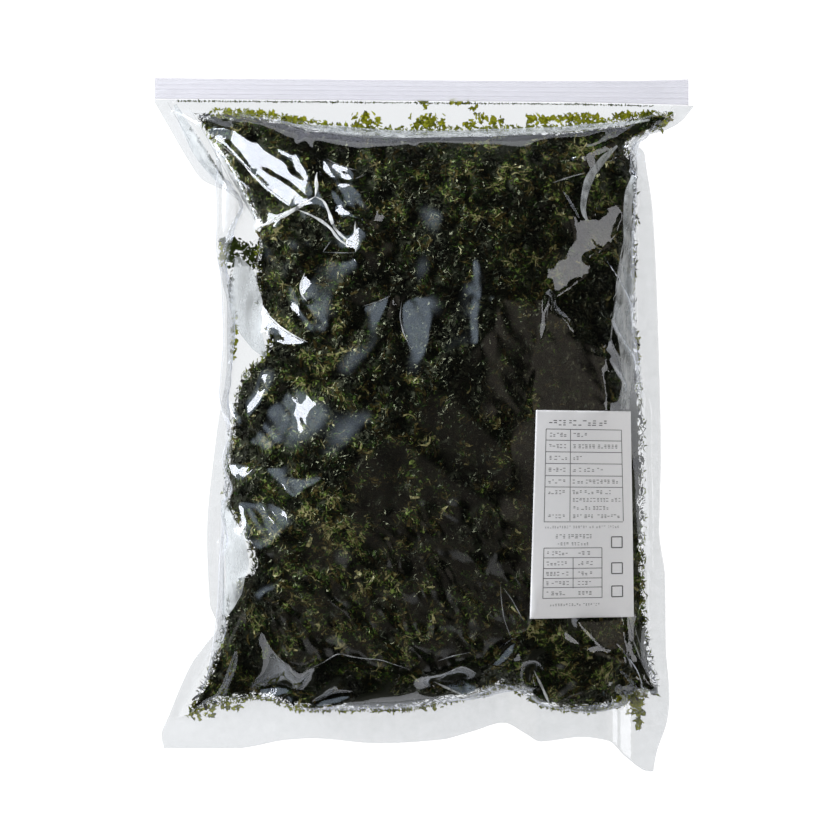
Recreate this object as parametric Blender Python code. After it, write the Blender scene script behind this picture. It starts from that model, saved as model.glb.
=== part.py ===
"""A clear zip pouch full of loose dried nori, lying on its back with its label up.

Metres, +Z up. The zip runs along X at the +Y end. The origin is on the resting plane, under the middle of
the pouch's box. Outlines are read clockwise from the flat pouch's left edge as the label side shows it.
"""

import math

import bmesh
import bpy

# Driving dimensions of the pouch.
FILM = 0.0008           # the sealed double film, made thicker than life so that it stays a solid
FILL_RISE = 0.062       # how far the filling lifts the front film above the seam
SIDE_SEAM_LIFT = 0.017  # height of the side seams above the table at mid length
CORNER_LIFT = 0.005     # height of the four flat corners
END_SEAM_LIFT = 0.009   # height of the bottom seal and of the zip at mid width
BACK_SAG = 0.012        # how far the back film would sag below the table, where it lies flat instead

# Sealed margins, from the pouch's edge to the line where the two films part.
LEFT_SEAL = 0.010
RIGHT_SEAL = 0.013
BOTTOM_SEAL = 0.017
HEADER = 0.013          # the flat clear strip between the zip and the filling

# How steeply the filled pillow falls away to its seams: a higher power keeps it flat for longer.
SIDE_POWER = 2.5
END_POWER = 3.4
PILLOW_POWER = 0.68

# The pouch's edges, as (station, offset): a side edge is x at y, an end edge is y at x.
LEFT_EDGE = [
    (-0.1735, -0.1387), (-0.1670, -0.1403), (-0.1560, -0.1362), (-0.1280, -0.1239), (-0.1177, -0.1168),
    (-0.1086, -0.1101), (-0.0957, -0.1142), (-0.0600, -0.1156), (-0.0060, -0.1106), (0.0350, -0.1050),
    (0.0640, -0.1050), (0.0840, -0.1091), (0.1057, -0.1034), (0.1160, -0.0983), (0.1226, -0.1014),
    (0.1303, -0.1179), (0.1415, -0.1260), (0.1590, -0.1362), (0.1740, -0.1449),
]
RIGHT_EDGE = [
    (-0.1860, 0.1232), (-0.1770, 0.1247), (-0.1577, 0.1308), (-0.1464, 0.1319), (-0.1187, 0.1298),
    (-0.0825, 0.1293), (-0.0570, 0.1262), (-0.0180, 0.1270), (0.0455, 0.1257), (0.1130, 0.1227),
    (0.1385, 0.1191), (0.1457, 0.1180), (0.1500, 0.1140), (0.1538, 0.1170), (0.1569, 0.1288),
    (0.1620, 0.1380), (0.1702, 0.1449),
]
BOTTOM_EDGE = [
    (-0.1403, -0.1735), (-0.1004, -0.1735), (-0.0728, -0.1689), (-0.0595, -0.1681), (-0.0236, -0.1708),
    (0.0089, -0.1689), (0.0264, -0.1643), (0.0428, -0.1597), (0.0551, -0.1658), (0.0623, -0.1698),
    (0.0847, -0.1674), (0.0991, -0.1695), (0.1083, -0.1781), (0.1206, -0.1860), (0.1319, -0.1862),
]
HEADER_EDGE = [(-0.1450, 0.1738), (0.0000, 0.1725), (0.0796, 0.1718), (0.1450, 0.1704)]
BOTTOM_LEVEL = -0.1710  # the bottom edge's mean line, about which the seal waves
SEAL_WAVE = 0.55        # height of the seal's wave for each metre that its edge is drawn in

# Large folds of the front film, as (start, end, rise, half width). A negative rise is a valley.
FRONT_FOLDS = [
    ((-0.128, 0.163), (-0.084, 0.100), 0.0050, 0.013),   # from the left ear down to the waist
    ((-0.112, 0.158), (-0.056, 0.120), -0.0040, 0.010),  # the groove beside it
    ((-0.094, 0.157), (0.060, 0.152), 0.0030, 0.011),    # the shoulder under the header
    ((0.110, 0.156), (0.082, 0.112), -0.0035, 0.012),    # from the right ear inwards
    ((0.103, 0.140), (0.098, 0.020), 0.0030, 0.011),     # lengthwise, beside the right seal
    ((-0.124, -0.150), (-0.062, -0.088), -0.0040, 0.013),  # from the left bottom corner
    ((-0.098, -0.142), (0.030, -0.138), 0.0035, 0.012),  # along the bottom
    ((0.122, -0.150), (0.060, -0.108), -0.0040, 0.013),  # from the right bottom corner
]

# The zip: two interlocked tapes, one on each film, each with raised rails.
ZIP_HEIGHT = 0.0112
ZIP_FLARE = 0.0026      # how much taller the band is where its right end fans out
ZIP_TAPE = 0.0009       # thickness of one tape between its rails
ZIP_RAIL = 0.0006       # how far a rail stands out of the tape
ZIP_RAILS = 4
ZIP_LEFT, ZIP_RIGHT = -0.1438, 0.1420

# The paper label, stuck on the front film to the right of the middle.
LABEL_CENTRE = (0.0834, -0.0478)
LABEL_SIZE = (0.0535, 0.1106)
LABEL_TILT = math.radians(-1.4)
LABEL_PAPER = 0.0004

CLEARANCE = 0.0003      # between pieces that touch

COLUMNS, ROWS = 36, 46  # faces across and along the filled pillow


def smooth_curve(points):
    """A function that passes smoothly through (station, value) points without overshooting them."""
    stations = [p[0] for p in points]
    values = [p[1] for p in points]
    spans = [b - a for a, b in zip(stations, stations[1:])]
    grades = [(b - a) / span for a, b, span in zip(values, values[1:], spans)]
    slopes = [grades[0]]
    for before, after in zip(grades, grades[1:]):
        slopes.append(2 * before * after / (before + after) if before * after > 0 else 0.0)
    slopes.append(grades[-1])

    def value_at(station):
        station = min(max(station, stations[0]), stations[-1])
        i = max(k for k in range(len(spans)) if stations[k] <= station)
        t = (station - stations[i]) / spans[i]
        rise = values[i + 1] - values[i]
        start, end = slopes[i] * spans[i], slopes[i + 1] * spans[i]
        return values[i] + t * start + t * t * (3 * rise - 2 * start - end) + t ** 3 * (start + end - 2 * rise)

    return value_at


left_edge = smooth_curve(LEFT_EDGE)
right_edge = smooth_curve(RIGHT_EDGE)
bottom_edge = smooth_curve(BOTTOM_EDGE)
header_edge = smooth_curve(HEADER_EDGE)


def filled_share(x, y):
    """Where (x, y) lies in the filled pillow: -1 to 1 from seam to seam, across and along."""
    left, right = left_edge(y) + LEFT_SEAL, right_edge(y) - RIGHT_SEAL
    low, high = bottom_edge(x) + BOTTOM_SEAL, header_edge(x) - HEADER
    across = (2 * x - left - right) / (right - left)
    along = (2 * y - low - high) / (high - low)
    return max(-1.0, min(1.0, across)), max(-1.0, min(1.0, along))


def fold_rise(x, y):
    """The sum of the large folds at (x, y), each a soft ridge that fades at both ends."""
    total = 0.0
    for (x0, y0), (x1, y1), rise, half_width in FRONT_FOLDS:
        run_x, run_y = x1 - x0, y1 - y0
        length = math.hypot(run_x, run_y)
        share = ((x - x0) * run_x + (y - y0) * run_y) / length ** 2
        aside = abs((x - x0) * run_y - (y - y0) * run_x) / length
        if 0 < share < 1 and aside < half_width:
            total += rise * (1 - aside / half_width) ** 2 * math.sin(math.pi * share) ** 0.5
    return total


def seam_height(x, y):
    """Height of the sealed seam's middle, which lies low at the corners and waves along the bottom."""
    across, along = filled_share(x, y)
    side = (SIDE_SEAM_LIFT - CORNER_LIFT) * (1 - along ** 4) * across ** 2
    end = (END_SEAM_LIFT - CORNER_LIFT) * (1 - across ** 4)
    wave = SEAL_WAVE * (bottom_edge(x) - BOTTOM_LEVEL) * max(0.0, -along) ** 3
    return max(FILM / 2, CORNER_LIFT + side + end + wave)


def front_height(x, y):
    """Height of the front film's outer face."""
    across, along = filled_share(x, y)
    pillow = ((1 - abs(across) ** SIDE_POWER) * (1 - abs(along) ** END_POWER)) ** PILLOW_POWER
    calm = (1 - across ** 6) * (1 - along ** 8)
    return seam_height(x, y) + FILM / 2 + FILL_RISE * pillow + fold_rise(x, y) * calm


def back_height(x, y):
    """Height of the back film's outer face: it curves down from the seam and lies flat on the table."""
    across, along = filled_share(x, y)
    seam = seam_height(x, y)
    depth = (seam + BACK_SAG) * ((1 - abs(across) ** 5) * (1 - abs(along) ** 7)) ** 0.8
    return max(0.0, seam - FILM / 2 - depth)


def station_list(count, low_margin, high_margin):
    """Stations from 0 to 1: one for each sealed margin's two edges, and count faces that close up at the seams."""
    inner = []
    for i in range(count + 1):
        even = 2 * i / count - 1
        eased = 0.55 * even + 0.45 * math.sin(math.pi / 2 * even)
        inner.append(low_margin + (1 - low_margin - high_margin) * (eased + 1) / 2)
    return [0.0] + inner + [1.0]


def outline_point(u, v):
    """The point (x, y) at shares u across and v along the outline, found where the two readings agree."""
    x, y = 0.0, 0.0
    for _ in range(12):
        x = left_edge(y) + (right_edge(y) - left_edge(y)) * u
        y = bottom_edge(x) + (header_edge(x) - bottom_edge(x)) * v
    return x, y


def plain_material(name, colour, roughness, transmission=0.0):
    """A Principled material with one colour."""
    material = bpy.data.materials.new(name)
    material.use_nodes = True
    shader = material.node_tree.nodes["Principled BSDF"]
    shader.inputs["Base Color"].default_value = (*colour, 1.0)
    shader.inputs["Roughness"].default_value = roughness
    shader.inputs["Metallic"].default_value = 0.0
    shader.inputs["Transmission Weight"].default_value = transmission
    return material


def closed_sheet(name, across, along, place, collection, material):
    """A closed body from two grids: place(u, v) gives x, y and the low and high face's z at each station."""
    sheet = bmesh.new()
    bmesh.ops.create_grid(sheet, x_segments=len(across) - 1, y_segments=len(along) - 1, size=0.5)
    low_faces = list(sheet.faces)
    extruded = bmesh.ops.extrude_face_region(sheet, geom=low_faces, use_keep_orig=True)
    high = {v for v in extruded["geom"] if isinstance(v, bmesh.types.BMVert)}
    for vert in sheet.verts:
        u = across[round((vert.co.x + 0.5) * (len(across) - 1))]
        v = along[round((vert.co.y + 0.5) * (len(along) - 1))]
        x, y, low_z, high_z = place(u, v)
        vert.co = (x, y, high_z if vert in high else low_z)
    bmesh.ops.recalc_face_normals(sheet, faces=sheet.faces)
    mesh = bpy.data.meshes.new(name)
    sheet.to_mesh(mesh)
    sheet.free()
    mesh.materials.append(material)
    mesh.shade_smooth()
    mesh.set_sharp_from_angle(angle=math.radians(40))
    body = bpy.data.objects.new(name, mesh)
    collection.objects.link(body)
    return body


def make_pouch(collection):
    """The filled pouch: front and back film with the nori between them, and the sealed margins round it."""
    width = right_edge(0) - left_edge(0)
    length = header_edge(0) - bottom_edge(0)
    across = station_list(COLUMNS, LEFT_SEAL / width, RIGHT_SEAL / width)
    along = station_list(ROWS, BOTTOM_SEAL / length, HEADER / length)

    def place(u, v):
        x, y = outline_point(u, v)
        return x, y, back_height(x, y), front_height(x, y)

    film = plain_material("clear_film_over_nori", (0.035, 0.040, 0.022), 0.12)
    return closed_sheet("pouch", across, along, place, collection, film)


def rail_profile(v):
    """How far the tape's outer face stands out at share v of its height: evenly spaced round rails."""
    return ZIP_RAIL * max(0.0, math.sin(math.pi * (2 * ZIP_RAILS + 1) * v)) ** 2


def make_zip(collection):
    """The shut zip: a tape on the front film and one on the back film, with a clearance between them."""
    across = [i / 24 for i in range(25)]
    along = [i / 27 for i in range(28)]
    tape = plain_material("zip_polyethylene", (0.82, 0.82, 0.85), 0.35)

    def place_tape(side):
        def place(u, v):
            x = ZIP_LEFT + (ZIP_RIGHT - ZIP_LEFT) * u
            height = ZIP_HEIGHT + ZIP_FLARE * u ** 8
            y = header_edge(x) + CLEARANCE + height * v
            middle = seam_height(x, header_edge(x))
            inner = middle + side * CLEARANCE / 2
            outer = middle + side * (CLEARANCE / 2 + ZIP_TAPE + rail_profile(v))
            return x, y, min(inner, outer), max(inner, outer)
        return place

    for name, side in (("zip_front", 1), ("zip_back", -1)):
        closed_sheet(name, across, along, place_tape(side), collection, tape)


def make_label(collection):
    """The paper label, which follows the front film."""
    across = [i / 14 for i in range(15)]
    along = [i / 26 for i in range(27)]
    paper = plain_material("label_paper", (0.66, 0.67, 0.70), 0.6)
    cos_tilt, sin_tilt = math.cos(LABEL_TILT), math.sin(LABEL_TILT)

    def place(u, v):
        side, up = (u - 0.5) * LABEL_SIZE[0], (v - 0.5) * LABEL_SIZE[1]
        x = LABEL_CENTRE[0] + side * cos_tilt - up * sin_tilt
        y = LABEL_CENTRE[1] + side * sin_tilt + up * cos_tilt
        low = front_height(x, y) + 2 * CLEARANCE
        return x, y, low, low + LABEL_PAPER

    return closed_sheet("label", across, along, place, collection, paper)


def main():
    for old in list(bpy.data.objects):
        bpy.data.objects.remove(old, do_unlink=True)
    collection = bpy.data.collections.new("nori_pouch")
    bpy.context.scene.collection.children.link(collection)
    make_pouch(collection)
    make_zip(collection)
    make_label(collection)


main()
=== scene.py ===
"""The looks of a clear zip pouch full of loose dried nori, lying on its back with its label up.

Metres, +Z up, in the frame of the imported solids: the zip runs along X at the +Y end, and the table is at 0.
"""

import math

import bmesh
import bpy
import numpy as np
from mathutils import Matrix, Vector
from mathutils.bvhtree import BVHTree


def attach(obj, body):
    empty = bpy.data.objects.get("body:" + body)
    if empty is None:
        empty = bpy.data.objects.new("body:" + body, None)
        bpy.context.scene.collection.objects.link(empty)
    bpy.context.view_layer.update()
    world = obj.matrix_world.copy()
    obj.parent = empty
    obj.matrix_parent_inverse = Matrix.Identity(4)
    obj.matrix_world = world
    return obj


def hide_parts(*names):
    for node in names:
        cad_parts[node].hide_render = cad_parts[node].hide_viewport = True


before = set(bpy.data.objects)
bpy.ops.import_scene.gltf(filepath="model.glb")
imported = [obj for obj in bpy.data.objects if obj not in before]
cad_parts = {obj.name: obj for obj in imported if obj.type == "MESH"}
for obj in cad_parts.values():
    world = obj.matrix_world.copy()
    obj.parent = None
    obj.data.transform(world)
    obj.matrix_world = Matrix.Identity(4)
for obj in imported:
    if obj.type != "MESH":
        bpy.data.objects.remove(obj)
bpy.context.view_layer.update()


# ---------------------------------------------------------------------------------------------------------
# The pouch's two films. Two sheets of clear polypropylene and polyethylene laminate, welded together along
# both sides and the bottom. The nori pushes them apart, which draws the welds in and leaves the film slack,
# so it stands in folds that fan out from the corners.
# ---------------------------------------------------------------------------------------------------------

FILM_WIDTH = 0.290      # the flat pouch, between its side edges
FILM_LENGTH = 0.372     # the flat pouch, from its bottom edge to its zip
WELD_GAP = 0.0006       # between the outer faces of the two films in a weld
FILL_RISE = 0.062       # how far the filling lifts the front film above the seam
SIDE_SEAM_LIFT = 0.017  # height of the side seams above the table at mid length
CORNER_LIFT = 0.005     # height of the four flat corners
END_SEAM_LIFT = 0.009   # height of the bottom seal and of the zip at mid width
BACK_SAG = 0.012        # how far the back film would sag below the table, where it lies flat instead
SIDE_POWER = 2.5        # how steeply the filled pillow falls away to its seams
SIDE_PILLOW = 0.68
END_POWER = 2.6         # and to its ends
END_PILLOW = 0.56

# The pouch's edges, as (station, offset): a side edge is x at y, an end edge is y at x.
LEFT_EDGE = [
    (-0.1735, -0.1387), (-0.1670, -0.1403), (-0.1560, -0.1362), (-0.1280, -0.1239), (-0.1177, -0.1168),
    (-0.1086, -0.1101), (-0.0957, -0.1142), (-0.0600, -0.1156), (-0.0060, -0.1106), (0.0350, -0.1050),
    (0.0640, -0.1050), (0.0840, -0.1091), (0.1057, -0.1034), (0.1160, -0.0983), (0.1226, -0.1014),
    (0.1303, -0.1179), (0.1415, -0.1260), (0.1590, -0.1362), (0.1740, -0.1449),
]
RIGHT_EDGE = [
    (-0.1860, 0.1232), (-0.1770, 0.1247), (-0.1577, 0.1308), (-0.1464, 0.1319), (-0.1187, 0.1298),
    (-0.0825, 0.1293), (-0.0570, 0.1262), (-0.0180, 0.1270), (0.0455, 0.1257), (0.1130, 0.1227),
    (0.1385, 0.1191), (0.1457, 0.1180), (0.1500, 0.1140), (0.1538, 0.1170), (0.1569, 0.1288),
    (0.1620, 0.1380), (0.1702, 0.1449),
]
BOTTOM_EDGE = [
    (-0.1403, -0.1735), (-0.1004, -0.1735), (-0.0728, -0.1689), (-0.0595, -0.1681), (-0.0236, -0.1708),
    (0.0089, -0.1689), (0.0264, -0.1643), (0.0428, -0.1597), (0.0551, -0.1658), (0.0623, -0.1698),
    (0.0847, -0.1674), (0.0991, -0.1695), (0.1083, -0.1781), (0.1206, -0.1860), (0.1319, -0.1862),
]
HEADER_EDGE = [(-0.1450, 0.1738), (0.0000, 0.1725), (0.0796, 0.1718), (0.1450, 0.1704)]
BOTTOM_LEVEL = -0.1710  # the bottom edge's mean line, about which the seal waves
SEAL_WAVE = 0.55        # height of the seal's wave for each metre that its edge is drawn in

# The lines where the two films part, inside the welds and inside the flat clear strip under the zip.
FILL_LEFT = [
    (-0.1650, -0.1340), (-0.1541, -0.1300), (-0.1412, -0.1240), (-0.1241, -0.1150), (-0.1070, -0.1082),
    (-0.0899, -0.1088), (-0.0600, -0.1088), (-0.0299, -0.1066), (0.0129, -0.1050), (0.0471, -0.1020),
    (0.0642, -0.1026), (0.0813, -0.1060), (0.0899, -0.1062), (0.1057, -0.1005), (0.1156, -0.0955),
    (0.1241, -0.1000), (0.1413, -0.1195), (0.1584, -0.1292), (0.1700, -0.1340),
]
FILL_RIGHT = [
    (-0.1650, 0.1262), (-0.1476, 0.1250), (-0.1412, 0.1258), (-0.1241, 0.1222), (-0.0940, 0.1188),
    (-0.0400, 0.1180), (0.0043, 0.1176), (0.0300, 0.1160), (0.0600, 0.1132), (0.0899, 0.1136),
    (0.1100, 0.1142), (0.1370, 0.1140), (0.1498, 0.1098), (0.1560, 0.1190), (0.1584, 0.1262),
    (0.1650, 0.1340),
]
FILL_BOTTOM = [
    (-0.1340, -0.1590), (-0.1286, -0.1572), (-0.1114, -0.1496), (-0.0874, -0.1462), (-0.0628, -0.1528),
    (-0.0184, -0.1528), (0.0089, -0.1492), (0.0330, -0.1442), (0.0410, -0.1400), (0.0571, -0.1462),
    (0.0624, -0.1505), (0.0892, -0.1533), (0.1052, -0.1495), (0.1213, -0.1450), (0.1300, -0.1470),
]
FILL_TOP = [
    (-0.1345, 0.1665), (-0.0981, 0.1662), (-0.0499, 0.1590), (-0.0125, 0.1566), (0.0389, 0.1574),
    (0.0796, 0.1584), (0.0951, 0.1604), (0.1208, 0.1655), (0.1340, 0.1675),
]

# The film crumples into facets between creases, some flat and sharp, some dished. Which way each faces: its
# rise for each metre across and along, and how many millimetres its edge is rounded over.
STEEP_LEFT = (0.555, -0.377, 0.3)
HALF_LEFT = (0.36, -0.25, 3.0)
CRISP_LEFT = (0.38, -0.26, 0.8)
STEEP_RIGHT = (-0.63, -0.05, 0.3)
HALF_RIGHT = (-0.37, 0.045, 1.0)
SIDEWAYS = (0.75, -0.05, 0.3)
FRONT = (0.03, 0.22, 3.0)
STEEP_FRONT = (0.03, 0.42, 0.4)
LEVEL = (0.10, 0.05, 1.5)
FALLING = (-0.22, 0.05, 1.0)
BEHIND_FOLD = (-0.50, -0.50, 1.0)
TURNED_UP = (-0.18, -0.45, 1.0)

# The facets' outlines in millimetres. Where two overlap, the later one lies in the earlier.
FILM_FACETS = [
    (FRONT, [(-86.5, -94), (-64.5, -83.5), (-39, -78), (-8.5, -77), (24, -76), (53, -80), (59, -94),
        (55.5, -108), (39.5, -115.5), (24, -123), (8.5, -132.5), (-6.5, -131.5), (-21.5, -131),
        (-36, -124.5), (-49.5, -124), (-63, -128.5), (-73.5, -125), (-82, -113.5)]),
    (HALF_LEFT, [(-52, 127.5), (-42, 128.5), (-33, 122.5), (-25.5, 117), (-30.5, 108), (-35.5, 110),
        (-41, 115.5), (-48, 117)]),
    (HALF_LEFT, [(-88.5, 150.5), (-79.5, 147), (-67.5, 142.5), (-66, 139.5), (-70, 138), (-76.5, 142),
        (-86.5, 147)]),
    (HALF_LEFT, [(-54, 142.5), (-44.5, 137), (-35.5, 135), (-42, 130.5), (-44.5, 129), (-50, 136)]),
    (HALF_LEFT, [(-70, 68), (-65, 67), (-56.5, 56.5), (-49.5, 50), (-54, 47), (-61.5, 52.5), (-68, 61)]),
    (CRISP_LEFT, [(-32.5, 62.5), (-24, 65), (-17.5, 68), (-19, 62), (-23, 54.5), (-26.5, 54),
        (-28.5, 59.5)]),
    (CRISP_LEFT, [(-12, 63.5), (-6, 67), (1, 66.5), (4, 56.5), (2.5, 42.5), (-2, 33), (-7, 38.5),
        (-11.5, 50.5)]),
    (CRISP_LEFT, [(25.5, 86.5), (29.5, 84.5), (31, 70.5), (28.5, 56.5), (30, 41), (26, 45), (25, 56.5),
        (27, 70.5)]),
    (CRISP_LEFT, [(-84, -22.5), (-76.5, -23.5), (-75, -28.5), (-67.5, -30), (-53, -28.5), (-56.5, -31.5),
        (-64, -34.5), (-68, -39.5), (-72, -36.5), (-74.5, -31.5), (-80, -27.5)]),
    (HALF_LEFT, [(-68, 20.5), (-61.5, 19.5), (-66, 12), (-72.5, 6.5), (-75.5, -3), (-82, -10.5),
        (-89.5, -14), (-94, -8.5), (-86.5, 0), (-79, 10.5)]),
    (HALF_LEFT, [(-98, -38), (-90, -40.5), (-81, -43.5), (-73.5, -47), (-76.5, -56.5), (-82, -65),
        (-88.5, -68.5), (-92.5, -59.5), (-96.5, -48.5)]),
    (CRISP_LEFT, [(-115, 155.5), (-113, 158), (-104.5, 158.5), (-102.5, 157.5), (-104, 151), (-107.5, 152),
        (-112, 153.5)]),
    (HALF_RIGHT, [(67, 68), (70, 59), (76.5, 54.5), (81, 45), (89.5, 40), (94.5, 35.5), (95.5, 28),
        (98.5, 7), (58, 7), (59, 20.5), (64, 42.5), (66, 59)]),
    (HALF_RIGHT, [(82, -105), (107, -105), (109, -121), (100, -120), (91, -115.5)]),
    (SIDEWAYS, [(-113, 154), (-107.5, 151), (-104, 149.5), (-92.5, 135.5), (-83, 126), (-70, 115.5),
        (-86.5, 107), (-88.5, 108)]),
    (STEEP_RIGHT, [(108.5, -100.5), (112.5, -101.5), (112.5, -121), (118.5, -132.5), (124.5, -142.5),
        (120, -141), (112.5, -130.5), (108.5, -121)]),
    (LEVEL, [(-79.5, 109.5), (-68, 112), (-63, 109.5), (-56.5, 107), (-50, 102), (-46, 98), (-42, 93),
        (-37, 88.5), (-44.5, 86), (-55.5, 88), (-66, 92), (-74, 98)]),
    (STEEP_LEFT, [(-102, 158), (-95.5, 153.5), (-86.5, 146.5), (-76.5, 141.5), (-71.5, 138), (-72.5, 136),
        (-69.5, 132.5), (-62, 127.5), (-57.5, 122), (-64.5, 117), (-67, 115.5), (-71.5, 116),
        (-76.5, 121.5), (-88, 132), (-99, 145.5), (-103.5, 150.5)]),
    (SIDEWAYS, [(-89.5, 137), (-85, 137.5), (-80, 135.5), (-74, 131.5), (-67.5, 127), (-63, 123),
        (-60, 120.5), (-63, 118.5), (-65.5, 120.5), (-70, 125), (-76.5, 129), (-83, 133)]),
    (STEEP_LEFT, [(-67.5, 139.5), (-63.5, 137.5), (-61, 129.5), (-65.5, 132.5)]),
    (STEEP_LEFT, [(-54.5, 140.5), (-49, 135), (-44.5, 129.5), (-49.5, 130.5), (-53.5, 134)]),
    (STEEP_LEFT, [(-56.5, 133.5), (-57.5, 130), (-56.5, 127), (-57, 121.5), (-54, 120.5), (-54.5, 125),
        (-55.5, 129)]),
    (STEEP_LEFT, [(-67, 115.5), (-61.5, 119), (-57.5, 121.5), (-53, 120.5), (-50.5, 116), (-48, 111.5),
        (-46, 106), (-49, 107.5), (-52.5, 114), (-57, 117), (-62, 115.5)]),
    (STEEP_LEFT, [(-68, 114.5), (-62, 113), (-55.5, 110), (-50, 105.5), (-46, 100), (-42, 96.5),
        (-37.5, 94), (-38.5, 91.5), (-43.5, 93), (-48.5, 97.5), (-52.5, 102), (-58.5, 106.5),
        (-64.5, 110)]),
    (STEEP_LEFT, [(-47, 105.5), (-45.5, 103.5), (-42, 99.5), (-39, 99.5), (-37, 102), (-35.5, 106.5),
        (-35, 108.5), (-33.5, 104.5), (-33.5, 98.5), (-34.5, 91.5), (-36.5, 92.5), (-37.5, 94.5),
        (-42.5, 97), (-46, 101)]),
    (STEEP_LEFT, [(-48.5, 114), (-44.5, 115), (-40.5, 114), (-37.5, 111.5), (-42.5, 110.5), (-47, 111.5)]),
    (CRISP_LEFT, [(-87.5, 106), (-82, 109), (-75, 112.5), (-68.5, 115), (-67.5, 114), (-74.5, 110),
        (-82, 106.5), (-87, 104)]),
    (STEEP_LEFT, [(-88.5, 67), (-86.5, 63), (-83, 58.5), (-79, 53.5), (-72.5, 48.5), (-66, 45), (-62, 43),
        (-67, 43), (-74, 45.5), (-78.5, 48), (-82, 51.5), (-85, 56.5), (-87.5, 62)]),
    (STEEP_LEFT, [(-62, 43), (-68, 43.5), (-75, 44.5), (-79.5, 44), (-75, 42), (-68, 42)]),
    (STEEP_LEFT, [(-63.5, 80), (-65, 77), (-66, 73), (-65, 68.5), (-62, 65), (-61.5, 65.5), (-63.5, 69),
        (-64, 73), (-63.5, 76.5), (-61.5, 79)]),
    (CRISP_LEFT, [(50.5, -113.5), (48.5, -122.5), (41, -130), (34.5, -128.5), (39.5, -124), (44, -118.5)]),
    (CRISP_LEFT, [(5, -137.5), (14.5, -138.5), (20.5, -135), (26.5, -145), (20.5, -146), (12, -142.5)]),
    (CRISP_LEFT, [(-35.5, -144.5), (-42.5, -149), (-55.5, -152), (-63, -151.5), (-54, -147),
        (-44.5, -144.5)]),
    (CRISP_LEFT, [(-87.5, -141), (-73, -140), (-69, -143.5), (-82, -147), (-92, -147.5)]),
    (CRISP_LEFT, [(60, -130.5), (62.5, -138), (68, -144.5), (70.5, -152), (67, -148.5), (63, -142.5),
        (59, -136)]),
    (CRISP_LEFT, [(93, -136), (96, -141), (100.5, -148), (96.5, -145.5), (93, -140)]),
    (LEVEL, [(-83, 51.5), (-79, 48), (-74.5, 45.5), (-79, 44.5), (-82, 44.5)]),
    (STEEP_FRONT, [(-60, -93), (-55.5, -92), (-51, -99.5), (-53, -107), (-58.5, -109), (-60, -100.5)]),
    (STEEP_FRONT, [(-43, -86.5), (-40, -89), (-36.5, -95), (-38, -100.5), (-41.5, -104.5), (-42.5, -97.5)]),
    (STEEP_FRONT, [(-52, -109), (-48.5, -112.5), (-43.5, -113.5), (-40.5, -115.5), (-45.5, -118.5),
        (-51, -116.5)]),
    (STEEP_FRONT, [(-28, -98.5), (-24, -100.5), (-22, -107), (-23, -112.5), (-26.5, -106)]),
    (STEEP_FRONT, [(-8.5, -92), (-5.5, -93), (-3, -100.5), (-2, -105), (-4, -109), (-6.5, -111.5),
        (-5, -105), (-6, -98.5)]),
    (STEEP_FRONT, [(7.5, -105), (11.5, -110), (17, -116.5), (20.5, -121), (14.5, -123.5), (8, -125),
        (7, -115.5)]),
    (STEEP_FRONT, [(22.5, -106), (26, -102.5), (30, -100.5), (32, -106), (29.5, -112.5), (27, -117.5),
        (24, -114.5)]),
    (STEEP_FRONT, [(40, -84.5), (42, -89), (43, -97.5), (47, -114.5), (45, -112.5), (41, -100.5),
        (40, -92)]),
    (STEEP_FRONT, [(42.5, -86.5), (48, -94), (53.5, -104.5), (50.5, -102.5), (46, -95)]),
    (STEEP_RIGHT, [(105, 115.5), (105.5, 112.5), (102, 105.5), (98.5, 98), (93, 95), (88, 92.5), (85, 89),
        (86, 85), (89.5, 83), (89, 79.5), (82, 78.5), (77.5, 74.5), (72.5, 70.5), (68.5, 69.5),
        (68.5, 72.5), (73.5, 82.5), (80, 98), (84, 109), (89.5, 108), (95.5, 111), (102, 115)]),
    (STEEP_RIGHT, [(82, 142.5), (92, 147.5), (101.5, 151.5), (109, 154), (118.5, 160.5), (119.5, 159),
        (109.5, 151.5), (102, 149), (93, 145), (84, 141)]),
    (BEHIND_FOLD, [(91.5, 126.5), (96.5, 135.5), (103, 142), (107.5, 141.5), (110.5, 135), (107, 124),
        (104.5, 117.5), (96.5, 113.5), (91, 111), (89, 115.5)]),
    (TURNED_UP, [(88, 89), (94.5, 91.5), (100.5, 94), (103.5, 101.5), (106.5, 111.5), (108, 108), (106, 96),
        (103.5, 84.5), (102, 71.5), (100.5, 59), (97.5, 50.5), (97.5, 42.5), (92.5, 39), (86.5, 43.5),
        (82, 51.5), (76.5, 58.5), (71.5, 62), (70, 67.5), (75.5, 70), (83, 76), (91, 78.5), (91.5, 84)]),
    (FALLING, [(38.5, 66.5), (62.5, 66.5), (60.5, 42.5), (55, 20.5), (53.5, 7), (38.5, 7)]),
    (FRONT, [(-24, -49), (9, -45), (41, -48), (42.5, -64.5), (34.5, -74.5), (3.5, -77), (-21.5, -74)]),
]
FACET_HOLD = 150        # how much stiffer a facet is than the film between facets
FACET_WAVE = 0.0055     # sizes of the slight waves and the finer ripples that stay in a facet
FACET_RIPPLE = 0.0030
LEAST_WAVE = 0.035      # slope of those waves, and what each millimetre of rounding adds to it
WAVE_FOR_BLUR = 0.09
KNOT_HOLD = 0.003       # how stiffly a knot keeps its own height
EASING_ROUNDS = 450     # rounds in which the film between the facets is eased
SPOT_POINTS = 16        # points in the spot that share_within looks at
SPOT_TURN = 2.4         # angle from each of them to the next, which spreads them evenly

# The label stiffens the film that it sticks to. Its corners: top left, top right, bottom right, bottom left.
LABEL_CORNERS = [(0.0598, 0.0075), (0.1106, 0.0068), (0.1125, -0.1030), (0.0566, -0.1036)]

IRONED_REACH = 0.012    # how far round it the label still smooths the film
IRONED_ROUNDS = 160

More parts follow.
